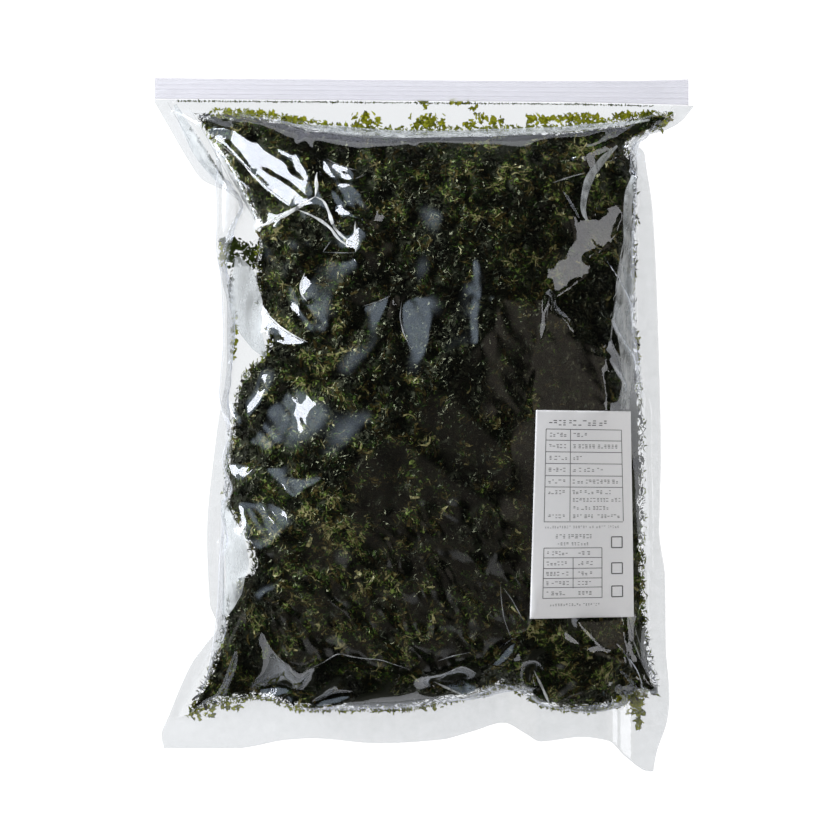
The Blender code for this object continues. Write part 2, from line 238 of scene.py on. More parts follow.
NET_STEP = 0.0027       # spacing of the film net's knots
EDGE_ROUNDS = 14        # rounds in which a point's readings from the four edges come to agree
SETTLE_STEPS = 150
SETTLE_ROUNDS = 5
SETTLE_FALL = 2e-5      # what the film falls further by in each step
MOTION_KEPT = 0.93      # share of its motion that it keeps from step to step
GROWING_SHARE = 0.7     # share of the steps in which it grows to its own size
START_ROUGH = 0.0006    # how rough it is at the start, so that it finds its folds
HEAP_LUMP = 0.0045      # how uneven the nori under the film is
LUMP_SIZE = 0.045


def smooth_curve(points):
    """A function that passes smoothly through (station, value) points without overshooting them."""
    stations, values = np.array(points).T
    spans = np.diff(stations)
    grades = np.diff(values) / spans
    product = grades[:-1] * grades[1:]
    both = np.where(product > 0, grades[:-1] + grades[1:], 1.0)
    slopes = np.concatenate([grades[:1], np.where(product > 0, 2 * product / both, 0.0), grades[-1:]])

    def value_at(station):
        station = np.clip(station, stations[0], stations[-1])
        i = np.clip(np.searchsorted(stations, station, side="right") - 1, 0, len(spans) - 1)
        t = (station - stations[i]) / spans[i]
        rise = values[i + 1] - values[i]
        start, end = slopes[i] * spans[i], slopes[i + 1] * spans[i]
        square, cube = 3 * rise - 2 * start - end, start + end - 2 * rise
        return values[i] + t * start + t * t * square + t ** 3 * cube

    return value_at


left_edge = smooth_curve(LEFT_EDGE)
right_edge = smooth_curve(RIGHT_EDGE)
bottom_edge = smooth_curve(BOTTOM_EDGE)
header_edge = smooth_curve(HEADER_EDGE)
fill_left = smooth_curve(FILL_LEFT)
fill_right = smooth_curve(FILL_RIGHT)
fill_bottom = smooth_curve(FILL_BOTTOM)
fill_top = smooth_curve(FILL_TOP)


def point_between(left, right, bottom, top, u, v):
    """The point (x, y) at shares u across and v along between four edges, where the two readings agree."""
    x, y = np.zeros_like(u), np.zeros_like(v)
    for _ in range(EDGE_ROUNDS):
        x = left(y) + (right(y) - left(y)) * u
        y = bottom(x) + (top(x) - bottom(x)) * v
    return x, y


def filled_share(x, y):
    """Where (x, y) lies in the filled pillow: -1 to 1 from seam to seam, across and along."""
    across = (2 * x - fill_left(y) - fill_right(y)) / (fill_right(y) - fill_left(y))
    along = (2 * y - fill_bottom(x) - fill_top(x)) / (fill_top(x) - fill_bottom(x))
    return np.clip(across, -1, 1), np.clip(along, -1, 1)


def seam_height(x, y):
    """Height of the sealed seam's middle."""
    across, along = filled_share(x, y)
    side = (SIDE_SEAM_LIFT - CORNER_LIFT) * (1 - along ** 4) * across ** 2
    end = (END_SEAM_LIFT - CORNER_LIFT) * (1 - across ** 4)
    wave = SEAL_WAVE * (bottom_edge(x) - BOTTOM_LEVEL) * np.maximum(0, -along) ** 3
    return np.maximum(WELD_GAP, CORNER_LIFT + side + end + wave)


def back_height(x, y):
    """Height of the back film's outer face, which sags onto the table under the filling."""
    across, along = filled_share(x, y)
    seam = seam_height(x, y) - WELD_GAP / 2
    belly = ((1 - np.abs(across) ** 5) * (1 - np.abs(along) ** 7)) ** 0.8
    return np.maximum(0.0, seam - (seam + BACK_SAG) * belly)


def soft_noise(x, y, size, seed):
    """Smooth noise from -1 to 1, with lumps of the given size."""
    lattice = np.random.default_rng(seed).uniform(-1, 1, (128, 128))
    column, row = (0.8 * x - 0.6 * y) / size + 64, (0.6 * x + 0.8 * y) / size + 64
    left, low = np.floor(column).astype(int), np.floor(row).astype(int)
    across, up = column - left, row - low
    across, up = [t ** 3 * (10 - 15 * t + 6 * t ** 2) for t in (across, up)]
    left, low = left % 127, low % 127
    under = lattice[low, left] * (1 - across) + lattice[low, left + 1] * across
    over = lattice[low + 1, left] * (1 - across) + lattice[low + 1, left + 1] * across
    return under * (1 - up) + over * up


def heap_height(x, y):
    """Height of the heap of nori, which the front film rests on."""
    across, along = filled_share(x, y)
    side_pillow = (1 - np.abs(across) ** SIDE_POWER) ** SIDE_PILLOW
    pillow = side_pillow * (1 - np.abs(along) ** END_POWER) ** END_PILLOW
    calm = (1 - across ** 6) * (1 - along ** 8)
    lumps = soft_noise(x, y, LUMP_SIZE, 3) + 0.5 * soft_noise(x, y, 0.45 * LUMP_SIZE, 4)
    return seam_height(x, y) + FILL_RISE * pillow + HEAP_LUMP * calm * lumps


def net_springs(rows, columns, row_step, column_step):
    """The film net's springs, in sets that share no knot: their first knots and second knots, their length
    and strength, and whether they only work against bending."""
    knots = np.arange(rows * columns).reshape(rows, columns)
    # How many knots down and across a spring's other end is, its strength, and whether it is for bending.
    kinds = [(0, 1, 1.0, False), (1, 0, 1.0, False), (1, 1, 0.6, False), (1, -1, 0.6, False)]
    kinds += [(0, 2, 0.25, True), (2, 0, 0.25, True), (0, 4, 0.25, True), (4, 0, 0.25, True)]
    sets = []
    for down, across, strength, bends in kinds:
        first = knots[:rows - down, max(0, -across):columns - max(0, across)]
        second = knots[down:, max(0, across):columns + min(0, across)]
        length = math.hypot(down * row_step, across * column_step)
        place = np.indices(first.shape)[0 if down else 1] // max(down, abs(across))
        for side in (0, 1):
            chosen = place % 2 == side
            sets.append((first[chosen], second[chosen], length, strength, bends))
    return sets


def settle_film():
    """The front film, let down slack onto the heap with its welds held: its knots' places, row by row."""
    columns, rows = round(FILM_WIDTH / NET_STEP) + 1, round(FILM_LENGTH / NET_STEP) + 1
    u, v = np.meshgrid(np.linspace(0, 1, columns), np.linspace(0, 1, rows))
    x, y = point_between(left_edge, right_edge, bottom_edge, header_edge, u, v)
    across, along = filled_share(x, y)
    loose = ((np.abs(across) < 1) & (np.abs(along) < 1)).astype(float).reshape(-1, 1)
    height = heap_height(x, y)
    height += START_ROUGH * loose.reshape(rows, columns) * np.random.default_rng(3).uniform(0, 1, x.shape)
    place = np.stack([x, y, height], axis=-1).reshape(-1, 3)
    springs = net_springs(rows, columns, FILM_LENGTH / (rows - 1), FILM_WIDTH / (columns - 1))
    starts = [np.linalg.norm(place[b] - place[a], axis=1) for a, b, *_ in springs]
    shares = [np.maximum(loose[a] + loose[b], 1e-9) for a, b, *_ in springs]
    before = place.copy()
    for step in range(SETTLE_STEPS):
        grown = min(1.0, (step + 1) / (GROWING_SHARE * SETTLE_STEPS))
        drift = (place - before) * loose * MOTION_KEPT
        before = place.copy()
        place = place + drift
        place[:, 2] -= SETTLE_FALL * loose[:, 0]
        for _ in range(SETTLE_ROUNDS):
            for (a, b, length, strength, bends), start, share in zip(springs, starts, shares):
                reach = place[b] - place[a]
                span = np.sqrt((reach * reach).sum(axis=1))
                error = span - (start + (length - start) * grown)
                if bends:
                    error = np.minimum(error, 0)
                move = reach * (strength * error / span)[:, None] / share
                place[a] += move * loose[a]
                place[b] -= move * loose[b]
            ground = heap_height(place[:, 0], place[:, 1])
            place[:, 2] += np.maximum(ground - place[:, 2], 0) * loose[:, 0]
    return place.reshape(rows, columns, 3)


def ironed(net):
    """The film's net with its folds smoothed out where the label holds it flat."""
    (left, top), (right, _), _, (_, bottom) = LABEL_CORNERS
    beside = np.maximum(np.abs(net[..., 0] - (left + right) / 2) - (right - left) / 2, 0)
    beyond = np.maximum(np.abs(net[..., 1] - (top + bottom) / 2) - (top - bottom) / 2, 0)
    held = np.clip(1 - np.hypot(beside, beyond) / IRONED_REACH, 0, 1)[1:-1, 1:-1, None]
    for _ in range(IRONED_ROUNDS):
        mean = (net[:-2, 1:-1] + net[2:, 1:-1] + net[1:-1, :-2] + net[1:-1, 2:]) / 4
        net[1:-1, 1:-1] += 0.5 * held * (mean - net[1:-1, 1:-1])
    return net


def finer(net):
    """A net with a new knot between every two, on the smooth curve through four neighbours."""
    for axis in (0, 1):
        rows = np.moveaxis(net, axis, 0)
        longer = np.concatenate([2 * rows[:1] - rows[1:2], rows, 2 * rows[-1:] - rows[-2:-1]])
        fine = np.empty((2 * len(rows) - 1, *rows.shape[1:]))
        fine[::2] = rows
        fine[1::2] = (9 * (longer[1:-2] + longer[2:-1]) - longer[:-3] - longer[3:]) / 16
        net = np.moveaxis(fine, 0, axis)
    return net


def share_within(outline, blur, x, y):
    """How much of a spot round each point lies in an outline: 0 to 1. The outline and the spot's radius are
    in millimetres."""
    corners, radius = np.array(outline) / 1000, blur / 1000
    near = (x > corners[:, 0].min() - radius) & (x < corners[:, 0].max() + radius)
    near &= (y > corners[:, 1].min() - radius) & (y < corners[:, 1].max() + radius)
    share, near_x, near_y = np.zeros(x.shape), x[near], y[near]
    order = np.arange(SPOT_POINTS)
    for turn, reach in zip(SPOT_TURN * order, radius * np.sqrt((order + 0.5) / SPOT_POINTS)):
        point_x, point_y = near_x + reach * math.cos(turn), near_y + reach * math.sin(turn)
        odd = np.zeros(point_x.shape, bool)
        for (x0, y0), (x1, y1) in zip(corners, np.roll(corners, -1, axis=0)):
            if y0 != y1:
                crossing = x0 + (x1 - x0) * (point_y - y0) / (y1 - y0)
                odd ^= ((y0 > point_y) != (y1 > point_y)) & (point_x < crossing)
        share[near] += odd / SPOT_POINTS
    return share


def creased(net):
    """The film's net with its facets turned to their tilts, and the film between them eased to meet them.
    Every link between two knots wants a rise, and the heights that suit all of them best are found step by
    step."""
    x, y, height = net[..., 0], net[..., 1], net[..., 2]
    across, along = filled_share(x, y)
    loose = ((np.abs(across) < 1) & (np.abs(along) < 1)).astype(float)
    links = []
    pull, stiffness = np.zeros_like(x), np.full_like(x, KNOT_HOLD)
    for near, far in (((slice(0, -1), slice(None)), (slice(1, None), slice(None))),
                      ((slice(None), slice(0, -1)), (slice(None), slice(1, None)))):
        run_x, run_y, rise = x[far] - x[near], y[far] - y[near], height[far] - height[near]
        middle_x, middle_y = (x[far] + x[near]) / 2, (y[far] + y[near]) / 2
        waves = soft_noise(middle_x, middle_y, FACET_WAVE, 51)
        waves += 0.9 * soft_noise(middle_x + 0.7 * middle_y, 0.45 * middle_y, FACET_RIPPLE, 52)
        wanted, hold = rise.copy(), np.ones_like(rise)
        for (tilt_x, tilt_y, blur), outline in FILM_FACETS:
            share = share_within(outline, blur, middle_x, middle_y)
            uneven = (LEAST_WAVE + WAVE_FOR_BLUR * blur) * waves
            wanted += share * ((tilt_x + uneven) * run_x + (tilt_y + uneven) * run_y - wanted)
            hold = np.maximum(hold, 1 + FACET_HOLD * share ** 2)
        links.append((near, far, hold))
        pull[far] += hold * (wanted - rise)
        pull[near] -= hold * (wanted - rise)
        stiffness[far] += hold
        stiffness[near] += hold
    lift, left_over = np.zeros_like(x), pull * loose
    heading = left_over / stiffness
    size = (left_over * heading).sum()
    for _ in range(EASING_ROUNDS):
        answer = KNOT_HOLD * heading
        for near, far, hold in links:
            stretch = hold * (heading[far] - heading[near])
            answer[far] += stretch
            answer[near] -= stretch
        answer *= loose
        step = size / (heading * answer).sum()
        lift += step * heading
        left_over = left_over - step * answer
        new_size = (left_over * left_over / stiffness).sum()
        heading = left_over / stiffness + new_size / size * heading
        size = new_size
    net[..., 2] += lift
    return net


def closed_sheet(name, high, low):
    """A closed mesh from two nets of points, high over low, joined all round their edge."""
    rows, columns = high.shape[:2]
    body = bmesh.new()
    bmesh.ops.create_grid(body, x_segments=columns - 1, y_segments=rows - 1, size=0.5)
    bmesh.ops.extrude_face_region(body, geom=list(body.faces), use_keep_orig=True)
    mesh = bpy.data.meshes.new(name)
    body.to_mesh(mesh)
    body.free()
    flat = np.zeros(len(mesh.vertices) * 3)
    mesh.vertices.foreach_get("co", flat)
    flat = flat.reshape(-1, 3)
    column = np.rint((flat[:, 0] + 0.5) * (columns - 1)).astype(int)
    row = np.rint((flat[:, 1] + 0.5) * (rows - 1)).astype(int)
    upper = (np.arange(len(flat)) >= rows * columns)[:, None]
    places = np.where(upper, high[row, column], low[row, column])
    mesh.vertices.foreach_set("co", places.ravel())
    body = bmesh.new()
    body.from_mesh(mesh)
    bmesh.ops.recalc_face_normals(body, faces=body.faces)
    body.to_mesh(mesh)
    body.free()
    mesh.shade_smooth()
    return mesh


def mesh_of(name, points, faces):
    """A mesh from its points and its faces."""
    mesh = bpy.data.meshes.new(name)
    mesh.from_pydata(points, [], faces)
    return mesh


def point_values(mesh, name, values):
    """A number for each of a mesh's points, which its material reads by name."""
    mesh.attributes.new(name, "FLOAT", "POINT").data.foreach_set("value", values.astype(np.float32))


def add_piece(name, mesh, material):
    """An object for a mesh, with its material, which rides on the pouch's one body."""
    piece = bpy.data.objects.new(name, mesh)
    bpy.context.scene.collection.objects.link(piece)
    mesh.materials.append(material)
    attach(piece, "root")
    return piece


def srgb(code):
    """A linear colour with alpha from an sRGB hex code."""
    shares = [int(code[i:i + 2], 16) / 255 for i in (1, 3, 5)]
    return (*[c / 12.92 if c <= 0.04045 else ((c + 0.055) / 1.055) ** 2.4 for c in shares], 1.0)


def add_node(tree, kind, settings=None, inputs=None):
    """A node with its settings made, and its inputs set, or linked where a value is a node's output."""
    node = tree.nodes.new(kind)
    for name, value in (settings or {}).items():
        setattr(node, name, value)
    for name, value in (inputs or {}).items():
        if isinstance(value, bpy.types.NodeSocket):
            tree.links.new(value, node.inputs[name])
        else:
            node.inputs[name].default_value = value
    return node


def new_material(name):
    """An empty material, its node tree and the output that its shader goes to."""
    material = bpy.data.materials.new(name)
    material.use_nodes = True
    material.node_tree.nodes.clear()
    return material, material.node_tree, add_node(material.node_tree, "ShaderNodeOutputMaterial")


FACE_GLINT = 0.04       # the share of light that one face of the film mirrors straight on
CLEAR_HAZE = 0.0006     # how milky the film is away from its welds
WELDED_FROM = 0.995     # share of the way to the seam at which the films are welded


def film_laminate():
    """Clear laminate, extruded and chill-rolled: mirror-smooth, so it shows lamps as sharp white patches.
    The film has two faces, so it reflects twice what one would, and its welds are a little milky."""
    material, tree, output = new_material("clear_laminate_film")
    place = add_node(tree, "ShaderNodeTexCoord").outputs["Object"]
    ripple = add_node(tree, "ShaderNodeTexNoise", inputs={
        "Vector": place, "Scale": 1 / 0.011, "Detail": 3.0})
    relief = add_node(tree, "ShaderNodeBump",
                      inputs={"Height": ripple.outputs["Fac"], "Strength": 0.08, "Distance": 0.0006})
    gloss = add_node(tree, "ShaderNodeBsdfGlossy", inputs={
        "Color": srgb("#f4f7ff"), "Roughness": 0.045, "Normal": relief.outputs["Normal"]})
    clear = add_node(tree, "ShaderNodeBsdfTransparent", inputs={"Color": srgb("#f6f7f8")})
    slant = add_node(tree, "ShaderNodeLayerWeight", inputs={
        "Blend": 0.5, "Normal": relief.outputs["Normal"]})
    graze = add_node(tree, "ShaderNodeMath", {"operation": "POWER"}, {0: slant.outputs["Facing"], 1: 5.0})
    two_faces = add_node(tree, "ShaderNodeMath", {"operation": "MULTIPLY_ADD", "use_clamp": True},
                         {0: graze.outputs[0], 1: 2 * (1 - FACE_GLINT), 2: 2 * FACE_GLINT})
    sheen = add_node(tree, "ShaderNodeMixShader",
                     inputs={0: two_faces.outputs[0], 1: clear.outputs[0], 2: gloss.outputs[0]})
    weld = add_node(tree, "ShaderNodeAttribute", {"attribute_name": "weld"}).outputs["Fac"]
    streak = add_node(tree, "ShaderNodeTexNoise", inputs={
        "Vector": place, "Scale": 1 / 0.006, "Detail": 4.0})
    milk = add_node(tree, "ShaderNodeMapRange", inputs={
        "Value": streak.outputs["Fac"], "From Min": 0.3, "From Max": 0.7, "To Min": 0.12, "To Max": 0.16})
    milky_weld = add_node(tree, "ShaderNodeMath", {"operation": "MULTIPLY_ADD"},
                          {0: weld, 1: milk.outputs[0], 2: CLEAR_HAZE})
    haze = add_node(tree, "ShaderNodeBsdfDiffuse", inputs={"Color": srgb("#dfe0e2")})
    whole = add_node(tree, "ShaderNodeMixShader",
                     inputs={0: milky_weld.outputs[0], 1: sheen.outputs[0], 2: haze.outputs[0]})
    tree.links.new(whole.outputs[0], output.inputs["Surface"])
    return material


front_film = creased(finer(ironed(settle_film())))
film_rows, film_columns = front_film.shape[:2]
film_u, film_v = np.meshgrid(np.linspace(0, 1, film_columns), np.linspace(0, 1, film_rows))
film_x, film_y = point_between(left_edge, right_edge, bottom_edge, header_edge, film_u, film_v)
back_film = np.stack([film_x, film_y, back_height(film_x, film_y)], axis=-1)
front_film[..., 2] = np.maximum(front_film[..., 2], back_film[..., 2] + WELD_GAP)

film_mesh = closed_sheet("film", front_film, back_film)
film_points = np.zeros(len(film_mesh.vertices) * 3)
film_mesh.vertices.foreach_get("co", film_points)
weld_across, weld_along = filled_share(*film_points.reshape(-1, 3)[:, :2].T)
point_values(film_mesh, "weld", (np.abs(weld_across) > WELDED_FROM) | (weld_along < -WELDED_FROM))
film = add_piece("film", film_mesh, film_laminate())
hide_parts("pouch")


# ---------------------------------------------------------------------------------------------------------
# The zip. Two tapes of white translucent polyethylene with interlocking rails, extruded in one length and
# welded across the pouch's mouth, where they stay shut.
# ---------------------------------------------------------------------------------------------------------

LINE_LENGTH = 0.080     # of the draw lines along the tape
LINE_WIDTH = 0.0012


def zip_polyethylene():
    """Extruded low-density polyethylene: milky, half see-through and softly glossy, with fine draw lines."""
    material, tree, output = new_material("extruded_ldpe_zip")
    place = add_node(tree, "ShaderNodeTexCoord").outputs["Object"]
    drawn = add_node(tree, "ShaderNodeMapping", inputs={
        "Vector": place, "Scale": (1 / LINE_LENGTH, 1 / LINE_WIDTH, 0.0)})
    lines = add_node(tree, "ShaderNodeTexNoise", inputs={
        "Vector": drawn.outputs[0], "Scale": 1.0, "Detail": 2.0})
    colour = add_node(tree, "ShaderNodeMix", {"data_type": "RGBA"},
                      {0: lines.outputs["Fac"], 6: srgb("#e9e9ed"), 7: srgb("#f1f1f4")})
    relief = add_node(tree, "ShaderNodeBump",
                      inputs={"Height": lines.outputs["Fac"], "Strength": 0.15, "Distance": 0.0002})
    skin = add_node(tree, "ShaderNodeBsdfPrincipled", inputs={
        "Base Color": colour.outputs[2], "Roughness": 0.42, "IOR": 1.51, "Normal": relief.outputs["Normal"]})
    through = add_node(tree, "ShaderNodeBsdfTranslucent", inputs={"Color": colour.outputs[2]})
    body = add_node(tree, "ShaderNodeMixShader", inputs={0: 0.5, 1: skin.outputs[0], 2: through.outputs[0]})
    clear = add_node(tree, "ShaderNodeBsdfTransparent", inputs={"Color": srgb("#f9f9fb")})
    milky = add_node(tree, "ShaderNodeMixShader", inputs={0: 0.40, 1: clear.outputs[0], 2: body.outputs[0]})
    tree.links.new(milky.outputs[0], output.inputs["Surface"])
    return material


zip_material = zip_polyethylene()
for zip_half in ("zip_front", "zip_back"):
    for zip_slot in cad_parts[zip_half].material_slots:
        zip_slot.material = zip_material


# ---------------------------------------------------------------------------------------------------------
# The nori heap. Dried seaweed in loose shreds, packed closely enough that only its outer layer shows. This
# is the dark mass under the shreds that lie on it.
# ---------------------------------------------------------------------------------------------------------

MAP_STEP = 0.0015       # spacing of the maps that say how high things are at a place
FILM_CLEARANCE = 0.0014  # between the front film and the heap's nori
FRONT_MARGIN = 0.0005   # between the front film and the shreds, and between the back film and the nori on it
BACK_MARGIN = 0.0006
HEAP_LEAST = 0.0006     # the heap's least thickness, and how far its dark mass lies under its shreds
HEAP_INSET = 0.0030     # how far the dark mass lies inside the seams
HEAP_RAGGED = 0.0012    # how far its edge wavers, and over what length
RAG_SIZE = 0.004
PIT_DEPTH = 0.0055      # how deep the gaps between clumps of shreds are
PIT_SIZE = 0.0085

# The heap's left side as (station, offset). It leaves the clear folds at the upper and lower left empty.
NORI_LEFT = [
    (-0.1630, -0.1285), (-0.1475, -0.1230), (-0.1370, -0.1175), (-0.1260, -0.1130), (-0.1155, -0.1095),
    (-0.1050, -0.1070), (-0.0940, -0.1050), (-0.0865, -0.1035), (-0.0825, -0.0975), (-0.0775, -0.0915),
    (-0.0665, -0.0935), (-0.0555, -0.0975), (-0.0480, -0.1030), (-0.0405, -0.1065), (-0.0245, -0.1070),
    (-0.0085, -0.1040), (0.0020, -0.1030), (0.0130, -0.1015), (0.0225, -0.0980), (0.0300, -0.0940),
    (0.0355, -0.0860), (0.0450, -0.0830), (0.0565, -0.0850), (0.0675, -0.0885), (0.0880, -0.0895),
    (0.1040, -0.0880), (0.1200, -0.0950), (0.1360, -0.1035), (0.1465, -0.1095), (0.1545, -0.1145),
    (0.1615, -0.1195), (0.1670, -0.1230),
]
nori_left = smooth_curve(NORI_LEFT)

map_x = np.arange(-0.1470, 0.1471, MAP_STEP)
map_y = np.arange(-0.1875, 0.1755, MAP_STEP)
grid_x, grid_y = np.meshgrid(map_x, map_y)

film_quads = [(r * film_columns + c, r * film_columns + c + 1, (r + 1) * film_columns + c + 1,
               (r + 1) * film_columns + c) for r in range(film_rows - 1) for c in range(film_columns - 1)]
film_tree = BVHTree.FromPolygons([Vector(p) for p in front_film.reshape(-1, 3)], film_quads)


def film_over(x, y, side=1):
    """Height of the front film over each point, met from below, or from above where side is -1."""
    heights = np.zeros(len(x))
    for i in range(len(x)):
        start = Vector((x[i], y[i], -0.01 if side > 0 else 0.2))
        hit = film_tree.ray_cast(start, Vector((0, 0, side)))
        heights[i] = hit[0].z if hit[0] is not None else 0.0
    return heights


def read_map(field, x, y):
    """The value of a mapped field at (x, y), between its four nearest entries."""
    column = np.clip((x - map_x[0]) / MAP_STEP, 0, len(map_x) - 1.001)
    row = np.clip((y - map_y[0]) / MAP_STEP, 0, len(map_y) - 1.001)
    left, low = column.astype(int), row.astype(int)
    across, up = column - left, row - low
    under = field[low, left] * (1 - across) + field[low, left + 1] * across
    over = field[low + 1, left] * (1 - across) + field[low + 1, left + 1] * across
    return under * (1 - up) + over * up


film_map = film_over(grid_x.ravel(), grid_y.ravel()).reshape(grid_x.shape)
ceiling_map = film_map.copy()
for shift_down, shift_across in ((0, 1), (0, -1), (1, 0), (-1, 0)):
    ceiling_map = np.minimum(ceiling_map, np.roll(film_map, (shift_down, shift_across), (0, 1)))
ceiling_map -= FRONT_MARGIN
ground_map = back_height(grid_x, grid_y) + BACK_MARGIN
pits = soft_noise(grid_x, grid_y, PIT_SIZE, 11) + 0.6 * soft_noise(grid_x, grid_y, 0.4 * PIT_SIZE, 12)
nori_map = np.minimum(film_map, heap_height(grid_x, grid_y)) - FILM_CLEARANCE
nori_map = np.maximum(nori_map - PIT_DEPTH * np.maximum(0, pits), ground_map + HEAP_LEAST)
slope_map_y, slope_map_x = np.gradient(nori_map, MAP_STEP)


def edge_room(x, y):
    """How far inside the nori's outline (x, y) is."""
    sides = np.minimum(x - nori_left(y), fill_right(y) - x)
    return np.minimum(sides, np.minimum(y - fill_bottom(x), fill_top(x) - y))


def dark_nori(name, tones, roughness):
    """Dried seaweed, pressed thin: almost black in a heap, with a satin gloss, and green to olive or brown
    where it is thin. Each piece has a tone, which picks its colour out of the range."""
    material, tree, output = new_material(name)
    place = add_node(tree, "ShaderNodeTexCoord").outputs["Object"]
    tone = add_node(tree, "ShaderNodeAttribute", {"attribute_name": "shade"}).outputs["Fac"]
    mottle = add_node(tree, "ShaderNodeTexNoise", inputs={
        "Vector": place, "Scale": 1 / 0.0015, "Detail": 2.0})
    patchy = add_node(tree, "ShaderNodeMath", {"operation": "MULTIPLY_ADD"},
                      {0: mottle.outputs["Fac"], 1: 0.5, 2: -0.25})
    mixed = add_node(tree, "ShaderNodeMath", {"operation": "ADD", "use_clamp": True},
                     {0: patchy.outputs[0], 1: tone})
    colour = add_node(tree, "ShaderNodeValToRGB", inputs={0: mixed.outputs[0]})
    stops = colour.color_ramp.elements
    stops[0].position, stops[0].color = tones[0][0], srgb(tones[0][1])
    stops[1].position, stops[1].color = tones[-1][0], srgb(tones[-1][1])
    for position, code in tones[1:-1]:
        stops.new(position).color = srgb(code)
    relief = add_node(tree, "ShaderNodeBump",
                      inputs={"Height": mottle.outputs["Fac"], "Strength": 0.5, "Distance": 0.0003})
    skin = add_node(tree, "ShaderNodeBsdfPrincipled", inputs={
        "Base Color": colour.outputs["Color"], "Roughness": roughness, "IOR": 1.5,
        "Specular IOR Level": 0.9, "Specular Tint": srgb("#e2e6bc"), "Normal": relief.outputs["Normal"]})
    tree.links.new(skin.outputs[0], output.inputs["Surface"])
    return material


heap_columns, heap_rows = 118, 160
heap_u, heap_v = np.meshgrid(np.linspace(0, 1, heap_columns), np.linspace(0, 1, heap_rows))
heap_x, heap_y = point_between(
    lambda y: nori_left(y) + HEAP_INSET,
    lambda y: fill_right(y) - HEAP_INSET,
    lambda x: fill_bottom(x) + HEAP_INSET,
    lambda x: fill_top(x) - HEAP_INSET, heap_u, heap_v)
heap_x += HEAP_RAGGED * soft_noise(heap_x, heap_y, RAG_SIZE, 6)
heap_y += HEAP_RAGGED * soft_noise(heap_x, heap_y, RAG_SIZE, 7)
heap_low = read_map(ground_map, heap_x, heap_y)
heap_high = read_map(nori_map, heap_x, heap_y) - HEAP_LEAST
heap_high = np.maximum(heap_high, heap_low + HEAP_LEAST / 2)
heap_mesh = closed_sheet("nori_heap", np.stack([heap_x, heap_y, heap_high], axis=-1),
                         np.stack([heap_x, heap_y, heap_low], axis=-1))
point_values(heap_mesh, "shade", np.full(len(heap_mesh.vertices), 0.25))
heap_material = dark_nori("dried_nori_mass", [(0.0, "#040503"), (1.0, "#141a0c")], 0.6)
add_piece("nori_heap", heap_mesh, heap_material)


# ---------------------------------------------------------------------------------------------------------
# The loose nori. Shreds and torn flakes of dried seaweed, 2 to 8 mm long and thinner than paper, that lie on
# each other every way up. Some are broad, some twisted, and a few pale green ones show at the edges.
# ---------------------------------------------------------------------------------------------------------

FIELD_LEFT, FIELD_WIDTH = -0.14, 0.28       # the field that random places are drawn from
FIELD_BOTTOM, FIELD_LENGTH = -0.16, 0.33
PLACES_DRAWN = 12       # for each that is kept
EDGE_RAGGED = 0.0008    # how far the outline wavers that the places keep inside
LEAF_ROOM = 0.001       # how far inside the outline the middles of flakes and leaves keep
LEAF_THICKNESS = 0.00012
TORN_THICKNESS = 0.0001
TORN_CORNERS = 13       # corners on the rim of a single torn piece
HEADING_PATCH = 0.022   # size of the patches in which shreds point alike
HEADING_STRAY = 0.75
# Painted shade: the heap's tones are painted darker about a place right of the middle and paler away from it,
# standing in for how the lamps light the heap.
PAINTED_DARKEST_PLACE = (0.045, 0.015)  # where the heap is darkest, and how far off it is palest, across and along
PAINTED_PALEST_REACH = (0.120, 0.130)


def scatter(count, seed, room, limit=1.0):
    """Random places in the filling, at least room and at most limit inside its outline."""
    draw = np.random.default_rng(seed)
    x = FIELD_LEFT + FIELD_WIDTH * draw.uniform(0, 1, count * PLACES_DRAWN)
    y = FIELD_BOTTOM + FIELD_LENGTH * draw.uniform(0, 1, count * PLACES_DRAWN)
    inside = edge_room(x, y) + EDGE_RAGGED * soft_noise(x, y, 0.003, seed)
    kept = (inside > room) & (inside < limit)
    return x[kept][:count], y[kept][:count], draw


def lay(x, y, lift, tilt, draw):
    """For each shred its middle and the three directions it is laid by: along, across and up."""
    slope_x, slope_y = read_map(slope_map_x, x, y), read_map(slope_map_y, x, y)
    up = np.stack([-slope_x, -slope_y, np.ones_like(x)], axis=-1)
    up += draw.normal(0, tilt, up.shape)
    up /= np.linalg.norm(up, axis=1, keepdims=True)
    turn = 3 * math.pi * soft_noise(x, y, HEADING_PATCH, 33) + draw.normal(0, HEADING_STRAY, len(x))
    heading = np.stack([np.cos(turn), np.sin(turn), np.zeros_like(x)], axis=-1)
    along = heading - (heading * up).sum(axis=1, keepdims=True) * up
    along /= np.linalg.norm(along, axis=1, keepdims=True)
    across = np.cross(up, along)
    middle = np.stack([x, y, read_map(nori_map, x, y) + lift], axis=-1)
    return middle, along, across, up


def clump_tones(x, y, draw):
    """A tone for each piece: alike within a clump, with some strays, and paler off the darkest place. The
    paling
    is painted shade: it stands in for how the lamps light the heap.
    """
    base, paler, clumps, strays = 0.33, 0.28, 0.42, 0.15
    clump = soft_noise(x, y, 0.0075, 31) + 0.7 * soft_noise(x, y, 0.0028, 32)
    clump += 0.4 * soft_noise(x, y, 0.045, 34)
    off_x, off_y = (x - PAINTED_DARKEST_PLACE[0]) / PAINTED_PALEST_REACH[0], (y - PAINTED_DARKEST_PLACE[1]) / PAINTED_PALEST_REACH[1]
    away = np.clip(np.hypot(off_x, off_y), 0, 1) ** 2
    return np.clip(base + paler * away + clumps * clump + draw.normal(0, strays, len(x)), 0, 1)


def many_alike(name, corners, faces, shades):
    """One mesh of many small bodies alike, each with its own shade, all kept between the two films."""
    count, each = corners.shape[:2]
    points = corners.reshape(-1, 3)
    points[:, 2] = np.minimum(points[:, 2], read_map(ceiling_map, points[:, 0], points[:, 1]))
    points[:, 2] = np.maximum(points[:, 2], read_map(ground_map, points[:, 0], points[:, 1]))
    whole = (faces[None] + np.arange(count)[:, None, None] * each).reshape(-1, 3)
    mesh = mesh_of(name, points, whole)
    point_values(mesh, "shade", np.repeat(shades, each))
    return mesh


